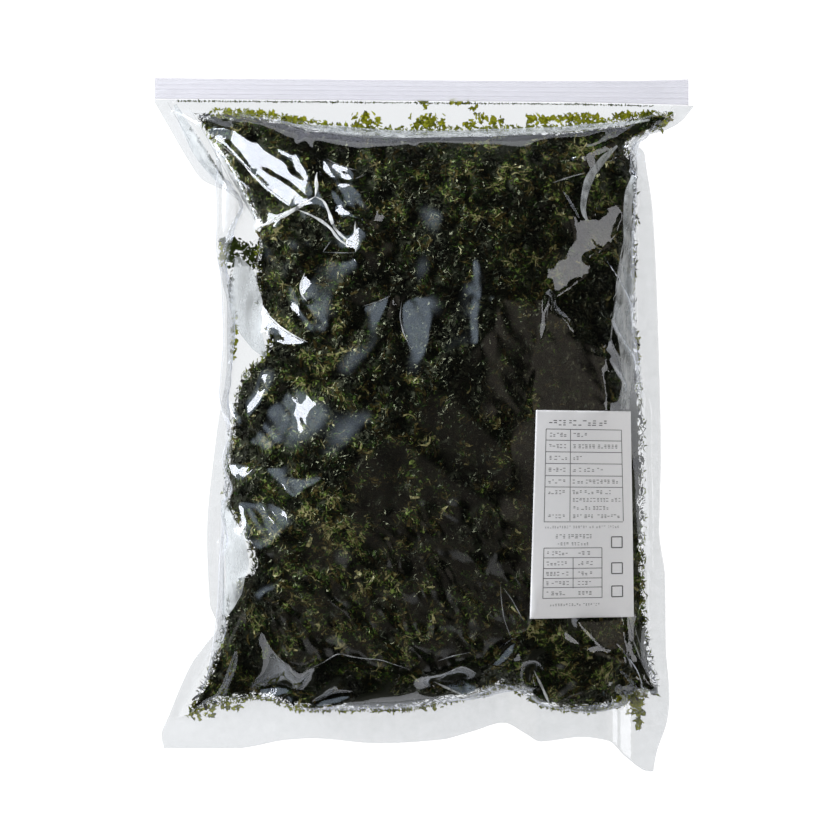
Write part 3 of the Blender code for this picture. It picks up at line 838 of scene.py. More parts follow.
def shreds(name, count, seed, lengths, widths, lift, tilt, room=0.0005, limit=1.0):
    """Narrow shreds, pointed at both ends and bent in the middle, three-sided: six faces each."""
    x, y, draw = scatter(count, seed, room, limit)
    count = len(x)
    middle, along, across, up = lay(x, y, draw.uniform(*lift, count), tilt, draw)
    length = draw.uniform(*lengths, (count, 1))
    width = draw.uniform(*widths, (count, 1))
    bend = across * draw.normal(0, 0.13, (count, 1)) * length
    waist = middle + bend
    corners = [middle - along * length / 2 - bend, waist - across * width / 2, waist + across * width / 2]
    corners += [waist - up * width * 0.3, middle + along * length / 2 - bend]
    faces = [(0, 2, 1), (0, 3, 2), (0, 1, 3), (4, 1, 2), (4, 2, 3), (4, 3, 1)]
    return many_alike(name, np.stack(corners, axis=1), np.array(faces), clump_tones(x, y, draw))


def flakes(name, count, seed, sizes, lift, tilt):
    """Torn flakes: thin crinkled plates with five uneven corners, sixteen faces each."""
    x, y, draw = scatter(count, seed, LEAF_ROOM)
    count = len(x)
    middle, along, across, up = lay(x, y, draw.uniform(*lift, count), tilt, draw)
    size = draw.uniform(*sizes, (count, 1))
    slim = draw.uniform(0.35, 0.8, (count, 1))
    top = []
    for corner in range(5):
        angle = 2 * math.pi * corner / 5
        reach = size / 2 * draw.uniform(0.6, 1.15, (count, 1))
        crinkle = draw.normal(0, 0.10, (count, 1)) * size
        rim = middle + along * reach * math.cos(angle) + across * reach * slim * math.sin(angle)
        top.append(rim + up * crinkle)
    under = [point - up * LEAF_THICKNESS for point in top]
    faces = [(0, 1, 2), (0, 2, 3), (0, 3, 4), (5, 7, 6), (5, 8, 7), (5, 9, 8)]
    for corner in range(5):
        after = (corner + 1) % 5
        faces += [(corner, corner + 5, after + 5), (corner, after + 5, after)]
    return many_alike(name, np.stack(top + under, axis=1), np.array(faces), clump_tones(x, y, draw))


def leaves(name, count, seed, lengths, widths, lift, tilt):
    """Torn strips of leaf, bent and twisted: four uneven cuts across each, twenty-eight faces."""
    x, y, draw = scatter(count, seed, LEAF_ROOM)
    count = len(x)
    middle, along, across, up = lay(x, y, draw.uniform(*lift, count), tilt, draw)
    length = draw.uniform(*lengths, (count, 1))
    width = draw.uniform(*widths, (count, 1))
    bend, curl = draw.normal(0, 0.22, (count, 1)), draw.normal(0, 0.25, (count, 1))
    roll, twist = draw.normal(0, 0.5, (count, 1)), draw.normal(0, 1.2, (count, 1))
    top, under = [], []
    for share in (-0.5, -0.17, 0.17, 0.5):
        turn = roll + twist * share
        bow = length * (4 * share ** 2 - 0.35)
        centre = middle + along * length * share + up * bend * bow + across * curl * bow
        half = (across * np.cos(turn) + up * np.sin(turn)) * width / 2 * draw.uniform(0.35, 1.2, (count, 1))
        thick = (up * np.cos(turn) - across * np.sin(turn)) * LEAF_THICKNESS
        top += [centre - half, centre + half]
        under += [centre - half - thick, centre + half - thick]
    faces = [(0, 1, 9), (0, 9, 8), (6, 14, 15), (6, 15, 7)]
    for a in (0, 2, 4):
        faces += [(a, a + 2, a + 3), (a, a + 3, a + 1), (a + 8, a + 11, a + 10), (a + 8, a + 9, a + 11)]
        faces += [(a, a + 8, a + 10), (a, a + 10, a + 2), (a + 1, a + 3, a + 11), (a + 1, a + 11, a + 9)]
    return many_alike(name, np.stack(top + under, axis=1), np.array(faces), clump_tones(x, y, draw))


def torn_pieces(name, places, sizes, seed):
    """Single torn pieces that lie flat where the two films meet: jagged round plates with a paler middle.
    A place is its middle, its half spans across and along, and how many pieces lie there, in millimetres."""
    draw = np.random.default_rng(seed)
    points, faces, shades = [], [], []
    corners, half_thick = TORN_CORNERS, TORN_THICKNESS / 2
    for middle_x, middle_y, span_x, span_y, count in places:
        for _ in range(count):
            x = (middle_x + span_x * np.clip(draw.normal(0, 0.6), -1, 1)) / 1000
            y = (middle_y + span_y * np.clip(draw.normal(0, 0.6), -1, 1)) / 1000
            size, slim, turn = draw.uniform(*sizes) / 2000, draw.uniform(0.28, 0.7), draw.uniform(0, math.pi)
            angles = 2 * math.pi * np.arange(corners) / corners
            reach = size * draw.uniform(0.35, 1.15, corners)
            along, aside = reach * np.cos(angles), reach * slim * np.sin(angles)
            rim_x = np.append(x + along * math.cos(turn) - aside * math.sin(turn), x)
            rim_y = np.append(y + along * math.sin(turn) + aside * math.cos(turn), y)
            level = seam_height(rim_x, rim_y) + draw.uniform(-TORN_THICKNESS, TORN_THICKNESS)
            first, under = len(points), len(points) + corners + 1
            points += list(zip(rim_x, rim_y, level + half_thick))
            points += list(zip(rim_x, rim_y, level - half_thick))
            for a in range(corners):
                b = (a + 1) % corners
                faces += [(first + a, first + b, first + corners), (under + b, under + a, under + corners)]
                faces += [(first + a, under + a, under + b), (first + a, under + b, first + b)]
            tone = draw.uniform(0.25, 0.8)
            shades += ([tone - 0.25] * corners + [tone + 0.2]) * 2
    mesh = mesh_of(name, points, faces)
    point_values(mesh, "shade", np.array(shades))
    return mesh


def thin_nori(name, dull, bright):
    """Single pieces of dried seaweed, lit from behind: the thin leaf lets the light through yellow-green."""
    material, tree, output = new_material(name)
    place = add_node(tree, "ShaderNodeTexCoord").outputs["Object"]
    shade = add_node(tree, "ShaderNodeAttribute", {"attribute_name": "shade"}).outputs["Fac"]
    mottle = add_node(tree, "ShaderNodeTexNoise", inputs={
        "Vector": place, "Scale": 1 / 0.0012, "Detail": 3.0})
    mixed = add_node(tree, "ShaderNodeMath", {"operation": "MULTIPLY_ADD", "use_clamp": True},
                     {0: mottle.outputs["Fac"], 1: 0.7, 2: -0.35})
    leaf = add_node(tree, "ShaderNodeMath", {"operation": "ADD", "use_clamp": True},
                    {0: mixed.outputs[0], 1: shade})
    colour = add_node(tree, "ShaderNodeMix", {"data_type": "RGBA"},
                      {0: leaf.outputs[0], 6: srgb(dull), 7: srgb(bright)})
    face = add_node(tree, "ShaderNodeBsdfPrincipled", inputs={
        "Base Color": colour.outputs[2], "Roughness": 0.5, "IOR": 1.5, "Specular Tint": srgb("#dbe4a4")})
    through = add_node(tree, "ShaderNodeBsdfTranslucent", inputs={"Color": colour.outputs[2]})
    both = add_node(tree, "ShaderNodeMixShader", inputs={0: 0.45, 1: face.outputs[0], 2: through.outputs[0]})
    tree.links.new(both.outputs[0], output.inputs["Surface"])
    return material


# Torn pieces in the clear strip under the zip, along the bottom seal, down the right edge and at two places
# of the left one, as torn_pieces reads them.
TORN_PLACES = [
    (-94, 165.5, 15, 1.8, 60), (-68, 162, 8, 2.0, 40), (-31, 162.5, 7, 3.5, 52), (2, 162, 9, 3.5, 64),
    (0.5, 170, 1.6, 2.5, 10), (21.5, 172, 6, 0.8, 12), (29, 167, 3.5, 3, 12), (36, 162.5, 6, 2, 26),
    (25, 160.5, 2, 2, 10), (63.5, 163, 8, 2, 44), (84.5, 163.5, 11, 2.5, 80), (107.5, 165, 6, 1.5, 22),
    (119, 165.5, 3.5, 1.5, 14), (121, 161, 9, 4.0, 60),
    (48, -138.5, 5, 2.5, 30), (61, -146.5, 4, 3, 34), (76, -146.5, 4, 2.5, 26), (90, -152, 10, 1.5, 30),
    (106, -147, 4, 4, 34), (114, -149, 4, 6, 50), (116, -159, 1.8, 4, 16), (-20, -151.5, 30, 1.0, 40),
    (-60, -152, 12, 1.0, 16), (-105, -151, 8, 2.0, 20), (-119, -155, 6, 3, 24),
    (114, 40, 1.2, 8, 30), (112.5, 78, 1.0, 4, 14), (111.5, 95, 1.0, 32, 40), (112.5, 10, 1.5, 12, 26),
    (115, -94, 1.6, 12, 20), (-107, 91, 1.5, 6, 30), (-101, 48, 1.2, 16, 30),
]

# The fringe of small bits along the top and the bottom of the nori.
FRINGE_PLACES = [(x, 1000 * fill_top(x / 1000) + 1.2, 2.0, 1.3, 7) for x in np.arange(-113, 126, 3.0)]
FRINGE_PLACES += [(x, 1000 * fill_bottom(x / 1000) - 0.6, 2.0, 0.9, 5) for x in np.arange(-118, 120, 3.0)]

# The pocket of nori in the fold at the left edge.
POCKET_PLACES = [(-103, 96, 5, 3, 60), (-97, 92, 8, 5, 110), (-92, 88, 4, 5, 50), (-101, 87, 4, 3, 30),
                 (-103, 74, 1.2, 8, 24)]

# Crumbs along the zip's foot and in the creases of the upper left corner.
CRUMB_PLACES = [(x, 1000 * header_edge(x / 1000) - 0.7, 0.9, 0.25, 4) for x in np.arange(-131, 123, 1.5)]
CRUMB_PLACES += [(-124.8 + 18 * t, 158.4 - 27 * t, 0.5, 0.6, 4) for t in np.linspace(0, 1, 60)]

BLACK_TONES = [(0.0, "#020302"), (0.40, "#080a07"), (0.70, "#151c10"), (1.0, "#3e4824")]
GREEN_TONES = [(0.0, "#020302"), (0.30, "#0a0f08"), (0.52, "#182210"), (0.72, "#2a4019"), (0.88, "#496024"),
               (1.0, "#7f9048")]
OLIVE_TONES = [(0.0, "#030202"), (0.30, "#0e0c08"), (0.52, "#1f190e"), (0.72, "#3a3116"), (0.88, "#625833"),
               (1.0, "#9c9668")]

# Each kind's count, seed, range of lengths and widths or of sizes, range of heights over the heap, and tilt.
for loose_mesh, loose_material in [
        (shreds("nori_shreds_dark", 28000, 21, (0.0016, 0.0042), (0.0004, 0.0009), (-0.0010, 0.0004), 0.50),
         dark_nori("dried_nori_black", BLACK_TONES, 0.20)),
        (shreds("nori_shreds_green", 32000, 22, (0.0014, 0.0040), (0.0004, 0.0009), (-0.0010, 0.0005), 0.50),
         dark_nori("dried_nori_green", GREEN_TONES, 0.22)),
        (shreds("nori_shreds_long", 12000, 23, (0.0030, 0.0070), (0.0003, 0.0007), (-0.0006, 0.0006), 0.35),
         dark_nori("dried_nori_olive", OLIVE_TONES, 0.24)),
        (flakes("nori_flakes", 11500, 24, (0.0012, 0.0038), (-0.0012, 0.0003), 0.50),
         dark_nori("dried_nori_flake", GREEN_TONES, 0.18)),
        (leaves("nori_leaves", 7000, 26, (0.0030, 0.0075), (0.0008, 0.0022), (-0.0010, 0.0005), 0.40),
         dark_nori("dried_nori_leaf", OLIVE_TONES, 0.20)),
        (shreds("nori_edge_shreds", 1500, 25, (0.0020, 0.0050), (0.0006, 0.0014), (-0.0004, 0.0004), 0.15,
                room=-0.0006, limit=0.0030),
         thin_nori("thin_dried_nori", "#141b07", "#8f9a18")),
        (torn_pieces("nori_torn_pieces", TORN_PLACES, (1.8, 5.6), 27),
         thin_nori("thin_torn_nori", "#28340a", "#dee03c")),
        (torn_pieces("nori_pocket", POCKET_PLACES, (1.6, 4.5), 30),
         thin_nori("thin_pocket_nori", "#080c05", "#4c5c1c")),
        (torn_pieces("nori_fringe", FRINGE_PLACES, (1.0, 3.4), 29),
         thin_nori("thin_fringe_nori", "#1c260a", "#ccd43a")),
        (torn_pieces("nori_crumbs", CRUMB_PLACES, (0.4, 1.8), 28),
         thin_nori("thin_nori_crumb", "#10140a", "#5c6a1c"))]:
    add_piece(loose_mesh.name, loose_mesh, loose_material)


# ---------------------------------------------------------------------------------------------------------
# The film's creases. Where the laminate was bent double, the sharp crease stays as a thin ridge that never
# lies
# flat again. The ridges are painted white: painted highlight, standing in for the lamps' glint along each
# crease.
# ---------------------------------------------------------------------------------------------------------

CREASE_STEP = 1.2       # spacing of a crease's points, in millimetres
CREASE_HEIGHT = 0.00025
CREASE_LIFT = 0.00008   # between the film's net and a crease's edges

# Each crease's width and the points that it passes, in millimetres.
CREASE_LINES = [
    (1.8, [(-116.5, 154.5), (-107.5, 141.5), (-98, 125), (-88.5, 106)]),
    (2.4, [(-88, 104.5), (-79.5, 108.5), (-68, 114.5), (-57.5, 121)]),
    (1.8, [(-57.5, 121), (-56.5, 127.5), (-57.5, 130.5), (-56.5, 134)]),
    (1.5, [(-68, 114.5), (-61.5, 112), (-54, 108), (-48.5, 103.5), (-46, 99), (-41.5, 95.5),
     (-36, 93.5)]),
    (1.7, [(-57.5, 121), (-53, 119), (-50, 112.5), (-48.5, 106.5), (-45.5, 102), (-41, 98),
     (-37.5, 97)]),
    (1.6, [(-36, 108), (-36.5, 102.5), (-35, 98.5), (-36, 91.5)]),
    (1.2, [(-63, 80.5), (-65, 75.5), (-65.5, 71.5), (-64.5, 68), (-62, 65.5)]),
    (1.2, [(-88.5, 66.5), (-84, 59.5), (-77.5, 52.5), (-70, 47.5), (-61.5, 43.5)]),
    (1.2, [(5.5, -137.5), (13, -141), (23, -145.5)]),
    (1.4, [(59, -131.5), (63, -139.5), (68, -151)]),
]

# The slighter ones.
FAINT_LINES = [
    (0.6, [(-115, 155.5), (-103.5, 145.5), (-92.5, 135.5), (-82, 125), (-68, 114.5)]),
    (0.5, [(-52, 141.5), (-44.5, 137.5), (-38, 135.5), (-35, 135)]),
    (0.8, [(-30.5, 133), (-36, 130.5)]),
    (0.5, [(-53.5, 91.5), (-44.5, 91), (-35.5, 91)]),
    (0.5, [(-53.5, 91.5), (-49, 97.5)]),
    (0.6, [(-32.5, 62.5), (-24, 65), (-17.5, 68)]),
    (0.6, [(-11.5, 65.5), (-12.5, 56.5), (-10.5, 48), (-6, 39.5)]),
    (0.6, [(-63, -131.5), (-54, -127.5), (-45.5, -122), (-38, -124), (-31, -125), (-23, -125.5),
     (-14, -128.5), (-8, -130.5)]),
    (0.5, [(41, -85.5), (41.5, -94), (43, -104), (47, -114.5)]),
    (0.5, [(42.5, -87), (47, -93), (50.5, -99.5), (53.5, -105)]),
    (0.6, [(8, -126), (15.5, -123.5), (25, -121.5)]),
    (0.7, [(69, 128.5), (77.5, 131.5), (86.5, 134)]),
    (0.5, [(67, 67.5), (66, 62), (65.5, 55.5)]),
    (0.8, [(107.5, 120), (108, 114), (107.5, 100.5), (104, 82.5), (102, 64), (100.5, 52),
     (99.5, 44.5), (104, 33.5), (105, 23.5)]),
    (0.8, [(110, -104), (112, -115.5), (117.5, -129), (124.5, -140)]),
    (0.6, [(112, -105), (115, -115.5), (119.5, -127.5), (125.5, -138)]),
    (0.8, [(-125.5, 169.5), (-120.5, 161.5), (-115, 152), (-107.5, 138.5), (-100, 124)]),
    (0.8, [(-137, 172.5), (-129, 158.5), (-121.5, 146.5), (-114, 135), (-105.5, 125), (-95, 116.5)]),
    (0.7, [(-100, 90), (-102.5, 82.5), (-104, 71.5), (-102.5, 61), (-101.5, 45)]),
    (0.7, [(-86.5, 102.5), (-87, 93), (-89, 81.5), (-88.5, 66.5)]),
    (0.6, [(-102.5, 86.5), (-95, 93), (-89, 98.5)]),
]

# Folds where the film lies double, each as the points of its middle line with the width there. They run down
# the right side, round its upper loop, down the left column, along the upper left seal, under the header and
# down the lower left wing.
# Their milky veil is partly the film lying double and partly painted light: painted sheen over the nori and
# painted shade over the board.
FOLD_LINES = [
    [(112, 133, 1.5), (110, 124, 4.6), (109, 117, 4.8), (109, 106, 4.2), (109, 93, 4.6), (108, 80, 6.2),
     (107, 66, 8.8), (106.5, 56.5, 9.6), (107.5, 45, 8.2), (108.5, 34, 6.6), (109, 24.5, 5.6),
     (108, 15.5, 5.2), (107.5, 8, 5.0)],
    [(103.5, 148.5, 1.2), (96.5, 142, 3.6), (91, 135, 4.4), (88, 130, 4.2), (86, 122.5, 3.6), (85, 116, 3.2),
     (85.5, 111.5, 2.6), (87, 109, 1.4)],
    [(-99, 89, 3), (-96, 80, 12), (-95, 70, 16), (-94, 60, 16), (-92, 50, 13), (-88, 42, 8), (-84, 36, 2)],
    [(-133, 171, 2), (-125, 155, 6), (-118, 143, 7), (-111, 133, 5), (-107, 128, 2)],
    [(-70, 160, 1), (-55, 158.5, 3), (-42.5, 157, 4.5), (-12.5, 155, 4), (14.5, 155, 4), (42.5, 156, 4),
     (73, 157.5, 3.5), (100, 160, 2.5), (121, 162.5, 1)],
    [(-107.5, -40.5, 2), (-102, -56.5, 9), (-99, -73, 13), (-101, -89, 10), (-106, -102, 3)],
]


def crease_ridges(name, lines, across=3, uneven=0.3, wave=3.0):
    """Low closed ridges that follow the film, with so many points across. They taper to both ends unless
    every point of a line has its own width. Their width wavers by a share, over a wave in millimetres."""
    sides = np.linspace(-1, 1, across)
    under = sides[-2:0:-1]
    points, faces = [], []
    for width, line in lines:
        corners = np.array(line)
        run = np.append(0, np.cumsum(np.hypot(*np.diff(corners[:, :2], axis=0).T)))
        at = np.linspace(0, run[-1], max(4, round(run[-1] / CREASE_STEP)))
        way = np.stack([np.interp(at, run, corners[:, 0]), np.interp(at, run, corners[:, 1])], axis=-1)
        for _ in range(4):
            way[1:-1] = (way[:-2] + 2 * way[1:-1] + way[2:]) / 4
        heading = np.gradient(way, axis=0)
        heading /= np.linalg.norm(heading, axis=1, keepdims=True)
        aside = np.stack([-heading[:, 1], heading[:, 0]], axis=-1)
        if corners.shape[1] == 3:
            half = np.interp(at, run, corners[:, 2]) / 2
        else:
            half = width / 2 * (0.15 + 0.85 * np.sin(math.pi * at / run[-1]))
        half = half * (1 + uneven * soft_noise(at, at, wave, 61))
        ring = []
        for side, high in [(side, 1) for side in sides] + [(side, 0) for side in under]:
            edge = (way + side * aside * half[:, None]) / 1000
            lift = CREASE_LIFT + high * CREASE_HEIGHT * (1 - side ** 2)
            ring.append(np.column_stack([edge, film_over(edge[:, 0], edge[:, 1], -1) + lift]))
        first, count = len(points), len(ring)
        points.extend(np.stack(ring, axis=1).reshape(-1, 3))
        for i in range(len(at) - 1):
            for k in range(count):
                a, b = first + count * i + k, first + count * i + (k + 1) % count
                faces.append((a, a + count, b + count, b))
        last = first + count * (len(at) - 1)
        faces += [tuple(range(first, first + count)), tuple(range(last + count - 1, last - 1, -1))]
    return mesh_of(name, points, faces)


def painted_light_film(name, least, most, veil, white):
    """Film with a white veil painted over clear laminate, patchy along its length: painted light. On the
    creases it is painted highlight, the lamps' glint along each crease; in the folds it is partly the
    milkiness of the doubled film and partly painted sheen and shade.
    """
    material, tree, output = new_material(name)
    place = add_node(tree, "ShaderNodeTexCoord").outputs["Object"]
    drawn = add_node(tree, "ShaderNodeMapping", inputs={"Vector": place, "Scale": (1.0, 0.35, 1.0)})
    patchy = add_node(tree, "ShaderNodeTexNoise", inputs={
        "Vector": drawn.outputs[0], "Scale": 1 / 0.004, "Detail": 3.0})
    strength = add_node(tree, "ShaderNodeMapRange", inputs={
        "Value": patchy.outputs["Fac"], "From Min": 0.35, "From Max": 0.65, "To Min": least, "To Max": most})
    clear = add_node(tree, "ShaderNodeBsdfTransparent", inputs={"Color": srgb(veil)})
    painted_white = add_node(tree, "ShaderNodeBsdfPrincipled", inputs={
        "Base Color": srgb(white), "Roughness": 0.25, "IOR": 1.5})
    whole = add_node(tree, "ShaderNodeMixShader",
                     inputs={0: strength.outputs[0], 1: clear.outputs[0], 2: painted_white.outputs[0]})
    tree.links.new(whole.outputs[0], output.inputs["Surface"])
    return material


# The creases' white is painted highlight, the lamps' glint along each crease.
add_piece("film_creases", crease_ridges("film_creases", CREASE_LINES),
          painted_light_film("crease_highlight_film", 0.25, 0.75, "#f6f7f8", "#f1f3f4"))
add_piece("film_faint_creases", crease_ridges("film_faint_creases", FAINT_LINES),
          painted_light_film("faint_crease_highlight_film", 0.05, 0.3, "#f6f7f8", "#d8dadc"))
# The folds' veil is partly doubled film and partly painted sheen and shade.
add_piece("film_folds", crease_ridges("film_folds", [(0, line) for line in FOLD_LINES], 9, 0.15, 12.0),
          painted_light_film("milky_fold_painted_light_film", 0.12, 0.5, "#f1f3f4", "#dfe2e4"))


# ---------------------------------------------------------------------------------------------------------
# The label. A die-cut sticker of white uncoated paper, stuck to the front film, which it keeps smooth. It
# bends down with the film at its right side.
# ---------------------------------------------------------------------------------------------------------

LABEL_PAPER = 0.00015
LABEL_WIDTH = 0.0550    # the label's own size, which its print is laid out on
LABEL_HEIGHT = 0.1110
LABEL_LIFT = 0.0005     # between the film's net and the underside of the paper

label_corners = np.array(LABEL_CORNERS)


def on_label(across, down, lift):
    """Points on the label from millimetres across and down from its top left corner, lifted off its film."""
    s, t = (across / (LABEL_WIDTH * 1000))[..., None], (down / (LABEL_HEIGHT * 1000))[..., None]
    top_left, top_right, bottom_right, bottom_left = label_corners
    flat = (top_left * (1 - s) + top_right * s) * (1 - t) + (bottom_left * (1 - s) + bottom_right * s) * t
    over = film_over(flat[..., 0].ravel(), flat[..., 1].ravel(), -1).reshape(across.shape)
    return np.concatenate([flat, (over + lift)[..., None]], axis=-1)


def label_paper():
    """Uncoated white wood-free paper: matt, with the faint cloudiness and fibres that it is formed with."""
    material, tree, output = new_material("uncoated_white_paper")
    place = add_node(tree, "ShaderNodeTexCoord").outputs["Object"]
    cloud = add_node(tree, "ShaderNodeTexNoise", inputs={
        "Vector": place, "Scale": 1 / 0.0025, "Detail": 6.0})
    colour = add_node(tree, "ShaderNodeMix", {"data_type": "RGBA"},
                      {0: cloud.outputs["Fac"], 6: srgb("#f4f5f9"), 7: srgb("#fbfbfd")})
    relief = add_node(tree, "ShaderNodeBump",
                      inputs={"Height": cloud.outputs["Fac"], "Strength": 0.2, "Distance": 0.0001})
    skin = add_node(tree, "ShaderNodeBsdfPrincipled", inputs={
        "Base Color": colour.outputs[2], "Roughness": 0.75, "Specular IOR Level": 0.3,
        "Normal": relief.outputs["Normal"]})
    tree.links.new(skin.outputs[0], output.inputs["Surface"])
    return material


label_across, label_down = np.meshgrid(np.linspace(0, 55, 56), np.linspace(111, 0, 112))
label_top = on_label(label_across, label_down, LABEL_LIFT + LABEL_PAPER)
label_mesh = closed_sheet("label_sheet", label_top, label_top - np.array([0, 0, LABEL_PAPER]))
label = add_piece("label_sheet", label_mesh, label_paper())
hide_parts("label")


# ---------------------------------------------------------------------------------------------------------
# The label's print: one black ink by thermal transfer. Two ruled tables, three plain boxes, and rows of
# dashes where the small print would be.
# ---------------------------------------------------------------------------------------------------------

INK_FILM = 0.00003
INK_LIFT = 0.00004      # between the paper and the underside of the ink
RULED_WIDTH = 0.34      # in millimetres, as the other sizes of the print are
BOX_WIDTH = 0.55
BOX_HALF = 2.9
BOX_MIDDLE = 46.2       # across the label
LAYER_SPACING = 0.32    # of a row's height, between its layers of dashes
DASH_CHANCE = 0.72

# Ruled lines, as (across, down, across, down) in millimetres from the label's top left corner.
RULED_LINES = [(6.1, 10.0, 6.3, 59.4), (20.1, 10.0, 20.4, 59.0), (49.4, 10.4, 49.9, 59.2)]
RULED_LINES += [(6.1, down, 49.6, down + 0.2) for down in (10.0, 15.9, 22.1, 28.3, 34.8, 40.8, 59.4)]
RULED_LINES += [(6.5, 73.4, 6.6, 100.2), (22.4, 78.6, 22.6, 95.0), (38.0, 73.4, 38.1, 100.2)]
RULED_LINES += [(6.5, down, 38.0, down) for down in (73.4, 78.6, 84.3, 89.6, 94.5, 100.2)]

# Rows of dashes, as (from, to, down, height of the row).
PRINT_ROWS = [(7.0, 42.0, 6.6, 3.6)]
for row_down, row_end in ((13.0, 30.0), (19.1, 48.0), (25.3, 29.0), (31.6, 39.0), (37.9, 48.0),
                          (43.6, 43.0)):
    PRINT_ROWS += [(8.0, 18.5, row_down, 2.5), (21.6, row_end, row_down, 2.5)]
PRINT_ROWS += [(21.8, 48.6, 47.7, 2.3), (21.8, 43.0, 52.0, 2.3), (21.8, 48.8, 56.5, 2.3)]
PRINT_ROWS += [(8.4, 18.6, 56.5, 2.3), (6.8, 48.6, 62.2, 1.5), (12.6, 32.4, 67.2, 2.6)]
PRINT_ROWS += [(13.6, 30.6, 71.2, 1.9)]
for row_start, row_end in ((8.0, 20.4), (25.0, 33.6)):
    PRINT_ROWS += [(row_start, row_end, down, 2.4) for down in (76.2, 81.6, 87.1, 92.2, 97.6)]
PRINT_ROWS += [(10.4, 37.4, 103.8, 1.5)]


def printed_bars(name, bars):
    """A mesh of flat ink bars, each as (across, down, across, down, width) in millimetres on the label."""
    points, faces = [], []
    for x0, y0, x1, y1, width in bars:
        run = math.hypot(x1 - x0, y1 - y0)
        pieces = max(1, round(run / 1.5))
        aside = np.array([-(y1 - y0), x1 - x0]) / run * width / 2
        share = np.linspace(0, 1, pieces + 1)[:, None]
        middle = np.array([x0, y0]) * (1 - share) + np.array([x1, y1]) * share
        base = len(points)
        ring = []
        for side, lift in ((-1, 0), (1, 0), (1, INK_FILM), (-1, INK_FILM)):
            edge = middle + side * aside
            ring.append(on_label(edge[:, 0], edge[:, 1], LABEL_LIFT + LABEL_PAPER + INK_LIFT + lift))
        points.extend(np.stack(ring, axis=1).reshape(-1, 3))
        for i in range(pieces):
            a = base + i * 4
            faces += [(a + k, a + (k + 1) % 4, a + 4 + (k + 1) % 4, a + 4 + k) for k in range(4)]
        faces += [(base + 3, base + 2, base + 1, base), tuple(base + pieces * 4 + k for k in range(4))]
    return mesh_of(name, points, faces)


def dashed_row(start, end, down, height, draw):
    """The dashes of one row: short bars in up to three layers, as small print looks from far off."""
    bars, across = [], start
    while across < end - 1.0:
        length = min(draw.uniform(0.7, 1.0) * height * 0.75, end - across)
        for level in (-LAYER_SPACING, 0.0, LAYER_SPACING):
            if draw.random() < DASH_CHANCE:
                inset = draw.uniform(0, 0.35) * length
                bars.append((across + inset, down + level * height, across + length - 0.1,
                             down + level * height, 0.11 * height + 0.05))
        across += length + draw.choice([0.35, 0.45, 1.3], p=[0.5, 0.35, 0.15])
    return bars


def label_ink():
    """Black thermal transfer ink: thin and a little broken, so it reads as dark grey on the paper."""
    material, tree, output = new_material("thermal_transfer_ink")
    place = add_node(tree, "ShaderNodeTexCoord").outputs["Object"]
    broken = add_node(tree, "ShaderNodeTexNoise", inputs={
        "Vector": place, "Scale": 1 / 0.0008, "Detail": 3.0})
    colour = add_node(tree, "ShaderNodeMix", {"data_type": "RGBA"},
                      {0: broken.outputs["Fac"], 6: srgb("#18181b"), 7: srgb("#5e5e64")})
    skin = add_node(tree, "ShaderNodeBsdfPrincipled", inputs={
        "Base Color": colour.outputs[2], "Roughness": 0.6})
    tree.links.new(skin.outputs[0], output.inputs["Surface"])
    return material


print_draw = np.random.default_rng(41)
print_bars = [(*line, RULED_WIDTH) for line in RULED_LINES]
for print_row in PRINT_ROWS:
    print_bars += dashed_row(*print_row, print_draw)
box_left, box_right = BOX_MIDDLE - BOX_HALF, BOX_MIDDLE + BOX_HALF
for box_down in (70.5, 84.5, 97.0):
    box_top, box_bottom = box_down - BOX_HALF, box_down + BOX_HALF
    for across in (box_left, box_right):
        print_bars.append((across, box_top, across, box_bottom, BOX_WIDTH))
    for down in (box_top, box_bottom):
        print_bars.append((box_left, down, box_right, down, BOX_WIDTH))
add_piece("label_print", printed_bars("label_print", print_bars), label_ink())


# ---------------------------------------------------------------------------------------------------------
# The table: one white board, and the studio's light: soft boxes at both sides and overhead, two of which the
# film mirrors, and soft glows on the dark walls.
# ---------------------------------------------------------------------------------------------------------

def white_board():
    """White lacquered board, with the faint unevenness that a rolled coat leaves. It glows besides, because
    it is lit to plain white."""
    material, tree, output = new_material("white_lacquer_board")
    place = add_node(tree, "ShaderNodeTexCoord").outputs["Object"]
    coat = add_node(tree, "ShaderNodeTexNoise", inputs={"Vector": place, "Scale": 9.0, "Detail": 3.0})
    colour = add_node(tree, "ShaderNodeMix", {"data_type": "RGBA"},
                      {0: coat.outputs["Fac"], 6: srgb("#636362"), 7: srgb("#676766")})
    skin = add_node(tree, "ShaderNodeBsdfPrincipled", inputs={
        "Base Color": colour.outputs[2], "Roughness": 0.7, "Specular IOR Level": 0.2,
        "Emission Color": srgb("#ffffff"), "Emission Strength": 1.06})
    tree.links.new(skin.outputs[0], output.inputs["Surface"])
    return material


bpy.ops.mesh.primitive_plane_add(size=2.0, location=(0, 0, -0.0006))
table = bpy.context.object
table.name = "table"
table.data.materials.append(white_board())
table.visible_glossy = False

# The film's steep flanks mirror only the board close by, as they would in a dark studio.
bpy.ops.mesh.primitive_plane_add(size=0.44, location=(0, 0, -0.0004))
mirrored_board = bpy.context.object
mirrored_board.name = "mirrored_board"
mirrored_board.data.materials.append(table.data.materials[0])
mirrored_board.visible_camera = False
mirrored_board.visible_diffuse = False
mirrored_board.visible_transmission = False
mirrored_board.visible_shadow = False


def soft_box(name, place, size, radiance, colour, mirrored=True):
    """A lamp with a white cloth front that faces the pouch, as bright as its radiance says."""
    lamp = bpy.data.lights.new(name, "AREA")
    lamp.shape = "RECTANGLE"
    lamp.size, lamp.size_y = size
    lamp.energy = radiance * math.pi * size[0] * size[1]
    lamp.color = srgb(colour)[:3]
    holder = bpy.data.objects.new(name, lamp)
    holder.location = place
    holder.rotation_mode = "QUATERNION"
    holder.rotation_quaternion = (-Vector(place)).to_track_quat("-Z", "Y")
    holder.visible_glossy = mirrored
    bpy.context.scene.collection.objects.link(holder)


